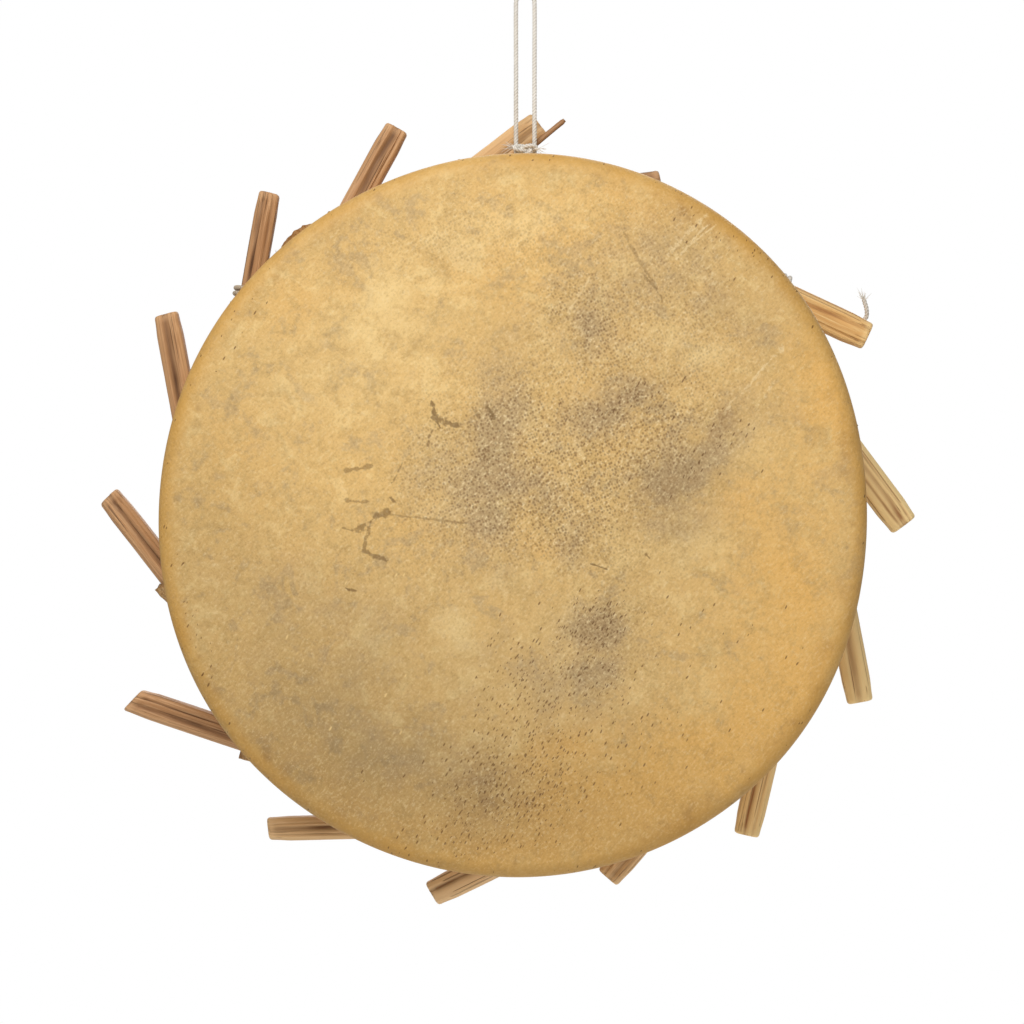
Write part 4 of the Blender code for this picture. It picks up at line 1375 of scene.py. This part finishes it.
# ---------------------------------------------------------------- the clay ring
@dataclass(frozen=True)
class ClayRing:
    """The hand-built ring of fired clay, smoothed with wet fingers inside."""

    columns: int = 400
    under: float = 1.3 * MM
    wall_front: float = 17.5 * MM
    wall_back: float = 16.0 * MM

    def build(self, finish: Material) -> Piece:
        """Make the ring: its outside follows the skin, its inside is a rounded wall.

        The inside is the straight line from back to front, with corners rounded by a
        quarter circle, plus smooth noise that is longest round the ring.
        """
        bearing = full_turn(self.columns)
        rim = RIM.at(bearing)
        outside = RIM.profile(self.under, 5, 12)
        soft = 3.0 * MM
        turn = np.linspace(0.0, math.pi / 2, 7)
        back, front = RIM.depth - self.under, self.under
        deep = RIM.eave + self.under + self.wall_back
        shallow = self.under + self.wall_front
        back_corner = np.stack([deep - soft + soft * np.sin(turn),
                                back - soft + soft * np.cos(turn)], axis=1)
        front_corner = np.stack([shallow - soft + soft * np.cos(turn),
                                 front + soft - soft * np.sin(turn)], axis=1)
        share = np.linspace(0.0, 1.0, 26)[1:-1, None]
        inner = back_corner[-1] + (front_corner[0] - back_corner[-1]) * share
        profile = np.vstack([outside, back_corner, inner, front_corner])
        inset = np.repeat(profile[:, :1], self.columns, axis=1)
        sink = np.repeat(profile[:, 1:], self.columns, axis=1)
        hand = np.zeros_like(inset)
        hand[len(outside):] = 1.0
        around = np.broadcast_to(bearing, inset.shape)
        cosine, sine = np.cos(around), np.sin(around)
        lumps = noise_over(cosine * 5, sink / (14 * MM), sine * 5, seed=61)
        lines = noise_over(cosine * 3, sink / (3.0 * MM), sine * 3, seed=65, layers=2)
        lump = MM * hand * (0.8 * lumps + 0.18 * lines)
        points = in_frame(rim - inset + lump, around, sink)
        surface = Surface()
        index = surface.add_grid(points, {}, round_columns=True)
        surface.bridge(index[-1], index[0], close=True)
        made = surface.make("clay_ring", finish)
        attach(made, ROOT_BODY)
        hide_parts("ring_frame")
        return made


# ---------------------------------------------------------------- the pegs
def from_ends(s: Array, start: float, tip: float) -> Array:
    """Distance to the nearer end of a stick."""
    return np.minimum(s - start, tip - s)


@dataclass(frozen=True)
class Groove:
    """A groove split along a peg: where round it, how wide, how deep, and its wander."""

    turn: float
    width: float
    depth: float
    wander: float = 4.0


@dataclass(frozen=True)
class PegStick:
    """One peg: a ribbed stick split from a palm rib, with worn ends and cut grooves."""

    place: PegPlace
    wood: Wood
    cut: float = 0.0
    grooves: tuple[Groove, ...] = ()
    # Share of the wood's light tone laid over the peg; on pegs 7, 8 and 10 to 12 it is mostly
    # painted light.
    tint_and_painted_light: float = 0.0
    shade: float = 0.0
    worn: float = 0.92
    chamfer: float = 1.6 * MM
    taper: float = 9.0 * MM
    squareness: float = 0.72
    ribs: int = 8
    rib_depth: float = 0.035
    columns: int = 96
    rows: int = 92

    def _section(self, along: Array, turn: Array) -> tuple[Array, Array, Array]:
        """Work out the surface of the stick.

        Across and through are sign(cos t) |cos t|^0.72 and the same of the sine, times the
        half sizes, cut in by eight shallow ribs, by the stick's own grooves
        exp(-((t - t0) / w)^2) and by noise that runs along the fibres.

        Args:
            along: Distance along the peg, in metres.
            turn: Angle round it, in radians.

        Returns:
            Across, through, and how deep in a groove the surface lies.
        """
        ribs = 1.0 - self.rib_depth * (1.0 + np.cos(self.ribs * turn + math.pi / 2)) / 2.0
        s = along / MM
        cut = np.zeros_like(turn)
        for groove in self.grooves:
            sway = math.radians(groove.wander) * noise_over(
                s / 26.0, groove.turn, 0.0, seed=200)
            away = (turn - math.radians(groove.turn) - sway + math.pi) % (2 * math.pi) - math.pi
            fade = 0.75 + 0.35 * noise_over(s / 17.0, groove.turn, 3.0, seed=210)
            cut = np.maximum(cut, groove.depth * fade
                             * np.exp(-((away / math.radians(groove.width)) ** 2)))
        seed = 300 + self.place.number
        cosine, sine = np.cos(turn), np.sin(turn)
        broad = noise_over(s / 30.0, cosine * 3.2, sine * 3.2, seed=seed)
        fibre = noise_over(s / 14.0, cosine * 9.0, sine * 9.0, seed=seed + 5)
        scale = ribs * (1.0 - cut + (0.018 * broad + 0.016 * fibre))
        across, through = (np.sign(v) * np.abs(v) ** self.squareness for v in (cosine, sine))
        deepest = max([groove.depth for groove in self.grooves], default=1.0)
        return across * scale, through * scale, cut / max(deepest, 0.08)

    def build(self, finish: Material) -> Piece:
        """Make the stick, closed by rounded, slightly hollowed end faces."""
        place = self.place
        start, tip = place.start, place.tip
        lean = math.tan(math.radians(self.cut))
        if self.cut:
            tip = tip - abs(lean) * place.width / 2 * self.worn * 0.86
        middle = start + (tip - start) * np.linspace(0.0, 1.0, self.rows)
        edge = self.chamfer * (1.0 - np.cos(np.linspace(0.0, math.pi / 2, 7)[1:]))
        along = np.unique(np.concatenate([middle, start + edge, tip - edge]))
        along = along[(along >= start) & (along <= tip)]
        from_end = from_ends(along, start, tip)
        body = self.worn + (1.0 - self.worn) * ease((from_end - self.chamfer) / self.taper)
        nose = np.clip(1.0 - from_end / self.chamfer, 0.0, 1.0)
        share = body - (self.chamfer / place.width) * (1 - np.sqrt(1 - nose**2)) * 1.3
        inside = np.array((0.82, 0.6, 0.35, 0.12))
        face = len(inside)
        along = np.concatenate([np.full(face, start), along, np.full(face, tip)])
        share = np.concatenate([share[0] * inside[::-1], share, share[-1] * inside])
        flat = np.repeat((1.0, 0.0, 1.0), (face, len(share) - 2 * face, face))
        s, t = np.meshgrid(along, full_turn(self.columns), indexing="ij")
        across, through, deep = self._section(s, t)
        across = across * share[:, None] * place.width / 2
        through = through * share[:, None] * place.thick / 2
        near_tip = ease((s - tip + 12 * MM) / (10 * MM))
        wobble = noise_over(*(v / (1.5 * MM) for v in (s, across, through)),
                            seed=400 + place.number)
        shift = lean * across * near_tip + 0.28 * MM * wobble * flat[:, None]
        bow = 0.3 * MM * noise_over(s / (55 * MM), 0.0, place.number, seed=420, layers=1)
        points = place.at(s + shift, across + bow, through)
        corner = np.abs(np.sin(2.0 * t)) ** 3
        near_end = ease(1 - np.abs(from_ends(s, start, tip) - 1.5 * MM) / (2.5 * MM))
        worn = np.clip(0.5 * corner * (1 - deep) + near_end * 0.8, 0.0, 1.0)
        offset = 0.37 * place.number
        values = {
            "grain": np.stack([s + offset, across + offset, through], axis=-1),
            "groove": np.maximum(np.clip(deep, 0.0, 1.0) ** 1.3 * (1 - flat[:, None]),
                                 self.shade),
            "end": np.repeat(flat[:, None], self.columns, axis=1),
            "worn": worn,
            "tint_and_painted_light": np.full_like(s, self.tint_and_painted_light),
        }
        surface = Surface()
        surface.tube(points, values)
        made = surface.make(f"peg_stick_{place.number:02d}", finish, sharp=50.0)
        body_name = f"peg_{place.number:02d}"
        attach(made, body_name)
        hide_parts(body_name)
        return made


@dataclass(frozen=True)
class Twig:
    """A thin twig on the lapped margin beside the first peg."""

    points_at: float = 40.8
    offset: float = 114.6 * MM
    radius: float = 1.5 * MM
    tip_radius: float = 1.1 * MM
    reach: float = 127.0 * MM
    columns: int = 28

    def build(self, finish: Material) -> Piece:
        """Make the twig: a tapering tube with knobs, bowed by half a sine."""
        points = math.radians(self.points_at)
        axis = np.array((math.cos(points), 0.0, math.sin(points)))
        out = np.array((-math.sin(points), 0.0, math.cos(points)))
        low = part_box("twig")[0]
        start = (low[0] - CENTRE[0] + self.offset * math.sin(points)) / math.cos(points)
        start = start + 1.2 * MM
        sink = RIM.depth + 0.3 * MM + self.radius
        share = np.linspace(0.0, 1.0, 90)
        along = start + (self.reach - start) * share
        radius = self.radius + (self.tip_radius - self.radius) * share
        knob = sum(np.exp(-(((along / MM - at) / 1.2) ** 2)) for at in (18.0, 47.0, 79.0, 108.0))
        radius = radius * (1.0 + 0.16 * knob) * np.where(share > 0.985, 0.8, 1.0)
        s, t = np.meshgrid(along, full_turn(self.columns), indexing="ij")
        rough = 1.0 + 0.07 * noise_over(s / (4 * MM), np.cos(t) * 2, np.sin(t) * 2, seed=500)
        r = radius[:, None] * rough
        bow = 0.5 * MM * np.sin(math.pi * share)[:, None]
        place = (CENTRE + s[..., None] * axis
                 + (self.offset + bow + r * np.cos(t))[..., None] * out
                 + (sink + r * np.sin(t))[..., None] * np.array((0.0, 1.0, 0.0)))
        values = {
            "grain": np.stack([s, r * np.cos(t) + 0.5, r * np.sin(t)], axis=-1),
            "groove": np.clip(0.45 + 0.5 * knob[:, None], 0, 1) + 0 * t, "worn": 0.1 + 0 * t,
            "end": np.repeat((share >= 1.0)[:, None] * 1.0, self.columns, axis=1),
            "tint_and_painted_light": 0 * t,
        }
        surface = Surface()
        surface.tube(place, values)
        made = surface.make("twig_bark", finish)
        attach(made, ROOT_BODY)
        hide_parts("twig")
        return made


# ---------------------------------------------------------------- twine
TWINE = 2.0 * MM
STRAND = 3.95 * MM  # from the loop's middle to each strand
KNOT_PLACE = np.array((0.0, -3.2, -65.4)) * MM
KNOT_FOOT = -68.0 * MM


@dataclass(frozen=True)
class Twine:
    """Three-ply cotton twine that follows a line."""

    name: str
    line: Array
    diameter: float = TWINE
    plies: int = 3
    lay: float = 4.2 * MM  # length in which a ply goes once round
    soil: float = 0.0
    columns: int = 24

    def build(self, finish: Material, body: str) -> Piece:
        """Make the twine as a tube whose section turns as it goes.

        The section's radius is R (0.72 + 0.30 |cos(3 (t - turn) / 2)|), which has one lobe
        for each ply, and a little noise. Turn grows by a full circle in each length of lay.
        """
        s, t = np.meshgrid(distances(self.line), full_turn(self.columns), indexing="ij")
        phase = t - 2 * math.pi * s / self.lay
        lobe = np.abs(np.cos(self.plies * phase / 2))
        fuzz = noise_over(s / (1.1 * MM), np.cos(t) * 2, np.sin(t) * 2, seed=600)
        points = rings_round(self.line,
                             self.diameter / 2 * (0.72 + 0.30 * lobe + 0.05 * fuzz), t)
        values = {
            "ply": lobe, "soil": self.soil + 0.0 * s,
            "grain": np.stack([s, 0.5 * MM * np.cos(phase), 0.5 * MM * np.sin(phase)],
                              axis=-1),
        }
        surface = Surface()
        surface.tube(points, values, (self.line[0], self.line[-1]))
        made = surface.make(self.name, finish)
        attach(made, body)
        return made


@dataclass(frozen=True)
class FrayedEnd:
    """Loose fibres at the end of a length of twine."""

    name: str
    root: Array
    ahead: Array
    length: float
    fibres: int = 26
    spread: float = 0.55
    seed: int = 700
    soil: float = 0.0
    fibre_radius: float = 0.16 * MM
    columns: int = 5

    def build(self, finish: Material, body: str) -> Piece:
        """Make the fibres: thin tapering tubes, each bent by a square of its length.

        Fibre f leaves in the twine's direction plus a random lean; at share u of its
        length l it lies at root + l (u d + u^2 b), with d its lean and b its bend.
        """
        random = np.random.default_rng(self.seed)
        ahead = self.ahead / np.linalg.norm(self.ahead)
        lean = ahead + random.normal(0.0, self.spread * 0.55, (self.fibres, 3))
        lean /= np.linalg.norm(lean, axis=1)[:, None]
        bend = random.normal(0.0, self.spread * 0.6, (self.fibres, 3))
        long = self.length * random.uniform(0.45, 1.0, self.fibres)
        start = self.root + random.normal(0.0, 0.28 * MM, (self.fibres, 3)) - ahead * 0.8 * MM
        surface = Surface()
        u = np.linspace(0.0, 1.0, 10)
        turn = full_turn(self.columns)
        for fibre in range(self.fibres):
            line = start[fibre] + long[fibre] * (
                u[:, None] * lean[fibre] + (u**2)[:, None] * bend[fibre])
            rings = rings_round(line, self.fibre_radius * (1.0 - 0.7 * u)[:, None], turn)
            run = np.broadcast_to((u * long[fibre])[:, None], u.shape + turn.shape)
            surface.tube(rings, {
                "ply": 0.75 + 0 * run, "soil": self.soil + 0 * run,
                "grain": np.stack([run, 0 * run + fibre * MM, 0 * run], axis=-1),
            })
        made = surface.make(self.name, finish)
        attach(made, body)
        return made


@dataclass(frozen=True)
class HangingLoop:
    """The loop of twine that the drum hangs by, tied in a knot over the head's top."""

    place: PegPlace
    length: float = 0.30
    nail_top: float = 1.0 * MM
    knot_half_mm: tuple[float, float, float] = (5.0, 1.05, 2.1)

    def _turn_round(self, side: int) -> list[Array]:
        """List points from the knot over the peg, down behind it and up in front."""
        place, radius = self.place, self.place.ring_radius()
        tail, strand = side * 1.3 * MM, side * STRAND
        turns = np.radians(np.arange(7) * -45.0)
        across = tail + (strand - tail) * np.arange(7) / 6
        along = (across - place.foot[0]) / place.axis[0]
        points = place.at(along, radius * np.cos(turns), radius * np.sin(turns))
        top, front = points[0], points[-1]
        over_edge = float(RIM.at(math.pi / 2)) - RIM.eave + TWINE + CENTRE[2]
        enter = np.array((tail, KNOT_PLACE[1], KNOT_FOOT - 0.3 * MM))
        dip = np.array((tail, front[1] - TWINE / 2, (top[2] + KNOT_FOOT) / 2))
        leave = np.array((strand, front[1], over_edge))
        reach = np.array((strand, 0.0, KNOT_FOOT - TWINE))
        return [enter, dip, *points, leave, reach]

    def line(self) -> Array:
        """Draw the whole route, from the knot round the peg, over the nail and back."""
        top = self.nail_top
        rise = [(-STRAND, 0.0, -32.7 * MM), (-STRAND, 0.0, top - STRAND)]
        crown = [(-STRAND * math.cos(turn), 0.0, top - STRAND + STRAND * math.sin(turn))
                 for turn in np.radians((36.0, 72.0, 108.0, 144.0))]
        fall = [(-x, y, z) for x, y, z in reversed(rise)]
        points = [*self._turn_round(-1), *rise, *crown, *fall, *reversed(self._turn_round(1))]
        return smooth_line(np.array(points, float))

    def build(self, finish: Material) -> list[Piece]:
        """Make the loop, its knot and the knot's short frayed ends."""
        line = self.line()
        loop = Twine("hanging_twine", line).build(finish, ROOT_BODY)
        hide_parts("hanging_loop")
        knot = self._knot(finish)
        ends = [
            FrayedEnd("knot_fray_left", KNOT_PLACE + np.array((-4.6, -0.4, 0.8)) * MM,
                      np.array((-1.0, -0.25, 0.15)), length=5.5 * MM, fibres=16,
                      spread=0.4, seed=710),
            FrayedEnd("knot_fray_right", KNOT_PLACE + np.array((4.6, -0.4, 0.2)) * MM,
                      np.array((1.0, -0.25, -0.25)), length=6.0 * MM, fibres=16,
                      spread=0.4, seed=711),
        ]
        frays = [end.build(finish, ROOT_BODY) for end in ends]
        log.info("hanging_twine: %.4f m long", distances(line)[-1])
        return [loop, knot, *frays]

    def _knot(self, finish: Material) -> Piece:
        """Make the knot: twine along a flattened trefoil.

        The trefoil is (sin t + 2 sin 2t, cos t - 2 cos 2t, sin 3t), scaled on each axis
        to fill the room that the knot has.
        """
        t = np.linspace(0.0, 2 * math.pi, 160)
        wide, deep, high = self.knot_half_mm
        x = (np.sin(t) + 2 * np.sin(2 * t)) / 3.0 * wide
        z = (np.cos(t) - 2 * np.cos(2 * t)) / 3.0 * high
        y = np.sin(3 * t) * deep
        line = KNOT_PLACE + np.stack([x, y, z], axis=1) * MM
        made = Twine("twine_knot", line, 1.9 * MM).build(finish, ROOT_BODY)
        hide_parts("hanging_knot")
        return made


@dataclass(frozen=True)
class PegTie:
    """Two turns of twine round a peg beyond its roll of skin, with a loose end."""

    place: PegPlace
    turn: float
    tail: tuple[tuple[float, float, float], ...]
    length: float
    fray: float
    soil: float
    turns: float = 2.0
    pitch: float = 2.4 * MM
    clear: float = 2.0 * MM

    def line(self) -> Array:
        """Draw the turns as a screw line, and then the loose end."""
        radius = self.place.ring_radius()
        start = self.place.roll_end + self.clear + TWINE / 2
        end = start + self.pitch * self.turns
        steps = round(self.turns * 2 * math.pi * radius / (2.4 * TWINE))
        left = 1.0 - np.arange(steps + 1) / steps
        angle = np.radians(self.turn - 360.0 * self.turns * left)
        screw = self.place.at(end + (start - end) * left, radius * np.cos(angle),
                              radius * np.sin(angle))
        tail = np.array(self.tail) * MM
        loose = self.place.at(end + tail[:, 0], tail[:, 1], tail[:, 2])
        return smooth_line(np.vstack([screw, loose]))

    def build(self, finish: Material) -> list[Piece]:
        """Make the twine and its frayed end."""
        body = f"peg_{self.place.number:02d}"
        line = self.line()
        made = Twine(f"peg_twine_{self.place.number:02d}", line,
                     soil=self.soil).build(finish, body)
        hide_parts(f"tie_{self.place.number:02d}")
        fray = FrayedEnd(f"twine_fray_{self.place.number:02d}", line[-1], line[-1] - line[-6],
                         self.fray, fibres=44, spread=0.42, seed=720 + self.place.number,
                         soil=self.soil * 0.6).build(finish, body)
        log.info("%s: %.4f m long", made.name, distances(line)[-1])
        return [made, fray]


# ---------------------------------------------------------------- stage, lights and camera
@dataclass(frozen=True)
class Studio:
    """A plain pale floor below the hanging drum, soft lights and the camera."""

    distance: float = 1.5
    lens: float = 126.84
    floor_z: float = -0.75
    key: float = 9.2
    fill: float = 3.6
    back: float = 15.0
    around: float = 0.32

    def build(self) -> None:
        """Make the camera, the floor, the lights and the bright surroundings."""
        camera = bpy.data.objects.new("camera", bpy.data.cameras.new("camera"))
        camera.data.lens, camera.data.sensor_width = self.lens, 36.0
        camera.location = (CENTRE[0] - 1.28 * MM, CENTRE[1] - self.distance,
                           CENTRE[2] + 1.73 * MM)
        camera.rotation_euler = (math.pi / 2, 0.0, 0.0)
        bpy.context.scene.collection.objects.link(camera)
        bpy.context.scene.camera = camera
        self._floor()
        self._light("key_light", (-0.25, -0.8, 0.5), 0.8, self.key)
        self._light("fill_light", (0.6, -1.15, -0.68), 0.9, self.fill)
        self._light("back_light", (0.3, 1.6, 0.6), 1.4, self.back)
        self._surroundings()
        bpy.context.scene.view_settings.view_transform = "Standard"

    def _floor(self) -> None:
        """Make the floor: a round plate with a faint dip towards its edge."""
        turn = full_turn(96)
        radius = np.array((0.5, 1.0, 1.5, 1.9, 1.9))[:, None]
        height = np.array((0.0, 0.0, 0.0, -0.004, -0.05))[:, None]
        points = np.stack([radius * np.cos(turn), radius * np.sin(turn),
                           self.floor_z + height + 0 * turn], axis=-1)
        surface = Surface()
        surface.tube(points, {})
        finish, graph = new_material("pale_floor")
        clouds = graph.patches(graph.place(), 3.0, 0.6)
        colour = graph.mix(clouds, tone(236, 235, 232), tone(246, 245, 243))
        graph.surface(Base_Color=colour, Roughness=0.85)
        surface.make("floor", finish)

    def _light(self, name: str, place: tuple, size: float, power: float) -> None:
        """Make a square soft light that faces the drum."""
        lamp = bpy.data.lights.new(name, "AREA")
        lamp.size, lamp.energy = size, power
        made = bpy.data.objects.new(name, lamp)
        made.location = place
        towards = Vector(CENTRE) - Vector(place)
        made.rotation_euler = towards.to_track_quat("-Z", "Y").to_euler()
        bpy.context.scene.collection.objects.link(made)

    def _surroundings(self) -> None:
        """Make the world: white to the eye, and softer as a light."""
        world = bpy.data.worlds.new("surroundings")
        world.use_nodes = True
        world.node_tree.nodes.clear()
        graph = Graph(world.node_tree)
        path = graph.node("ShaderNodeLightPath")
        seen, lit = (graph.fill(graph.node("ShaderNodeBackground"), Color=(1.0, 1.0, 1.0),
                                Strength=strength) for strength in (1.0, self.around))
        both, output = graph.node("ShaderNodeMixShader"), graph.node("ShaderNodeOutputWorld")
        for socket, source in zip(both.inputs, (path.outputs["Is Camera Ray"],
                                                lit.outputs[0], seen.outputs[0])):
            graph.put(socket, source)
        graph.put(output.inputs["Surface"], both.outputs[0])
        bpy.context.scene.world = world


# ---------------------------------------------------------------- the whole drum
# Each peg: its wood, the slant of its cut tip, its grooves and a share of the wood's light tone
# laid over it. On pegs 7, 8 and 10 to 12 that share is mostly painted light, making up for the
# shadow the drum casts on them.
PEG_PLAN = {
    1: (Wood.TAN, 0.0, (Groove(95, 9, 0.12),), 0.25),
    2: (Wood.BROWN, 0.0, (Groove(88, 13, 0.30, 7), Groove(118, 7, 0.12), Groove(62, 7, 0.10)),
        0.25),
    3: (Wood.BROWN, 3.0, (Groove(70, 12, 0.16), Groove(112, 8, 0.10)), 0.0),
    4: (Wood.BROWN, -4.0, (Groove(82, 15, 0.30, 6), Groove(50, 7, 0.10)), 0.2),
    5: (Wood.BROWN, -6.0, (Groove(95, 10, 0.20), Groove(125, 7, 0.10)), 0.1),
    6: (Wood.BROWN, 25.0, (Groove(80, 12, 0.18), Groove(108, 7, 0.14), Groove(60, 6, 0.08)),
        0.0),
    7: (Wood.TAN, -6.0, (Groove(90, 9, 0.16), Groove(70, 6, 0.10), Groove(112, 6, 0.08)), 0.5),
    8: (Wood.TAN, -5.0, (Groove(100, 10, 0.14),), 0.9),
    9: (Wood.TAN, 0.0, (Groove(85, 9, 0.14), Groove(115, 7, 0.1)), 0.2),
    10: (Wood.ORANGE, 0.0, (Groove(100, 8, 0.12), Groove(72, 6, 0.08)), 0.45),
    11: (Wood.ORANGE, 0.0, (Groove(95, 11, 0.14),), 0.8),
    12: (Wood.ORANGE, 0.0, (Groove(85, 7, 0.10), Groove(105, 6, 0.09), Groove(65, 6, 0.08)),
         0.9),
    13: (Wood.ORANGE, 0.0, (Groove(78, 9, 0.14), Groove(102, 6, 0.09), Groove(122, 6, 0.08)),
         0.0),
    14: (Wood.BROWN, 0.0, (Groove(90, 10, 0.14),), 0.0),
}
SHADES = {13: 0.15, 14: 0.55}  # how dark a peg is all over
TONGUES = {1: 17 * MM, 2: 18 * MM}  # how far a strip of the margin runs on along a peg
TAIL_03 = ((3, -7, 1.5), (8, -7, 2), (12, -7.4, 2.2), (15, -8.2, 2.4))
TAIL_13 = ((5, 1, -9.8), (14, 0, -9.8), (24, 0.5, -9.8), (32, 3, -9.6), (35.5, 7, -8),
           (34.5, 10.5, -6.5), (31.5, 14, -6))


def report(pieces: list[Piece]) -> None:
    """Log each piece's name and its number of faces."""
    for piece in pieces:
        log.info("%s: %d faces", piece.name, len(piece.data.polygons))


def main() -> None:
    """Build the studio, the twine, the skin, the ring and the pegs in order."""
    logging.basicConfig(level=logging.INFO, format="%(name)s: %(message)s")
    Studio().build()
    finishes = Finishes()
    places = {number: PegPlace.measured(number) for number in range(1, 15)}
    report(HangingLoop(places[14]).build(finishes.twine))
    for tie in (PegTie(places[3], turn=170.0, tail=TAIL_03, length=0.104, fray=4.0 * MM,
                       soil=0.75),
                PegTie(places[13], turn=-80.0, tail=TAIL_13, length=0.155, fray=4.5 * MM,
                       soil=0.3)):
        report(tie.build(finishes.twine))
    skin = GoatSkin(tuple(places.values())).build(finishes.head)
    wraps = [SkinWrap(place, TONGUES.get(place.number, 0.0)).build(finishes.margin)
             for place in places.values()]
    flap = SkinFlap().build(finishes.margin)
    ring = ClayRing().build(finishes.clay)
    report([skin, *wraps, flap, ring])
    for number, (wood, cut, grooves, tint_and_painted_light) in PEG_PLAN.items():
        stick = PegStick(places[number], wood, cut, grooves, tint_and_painted_light,
                         shade=SHADES.get(number, 0.0))
        report([stick.build(finishes.wood[wood])])
    report([Twig().build(finishes.wood[Wood.BROWN])])


if __name__ == "__main__":
    main()
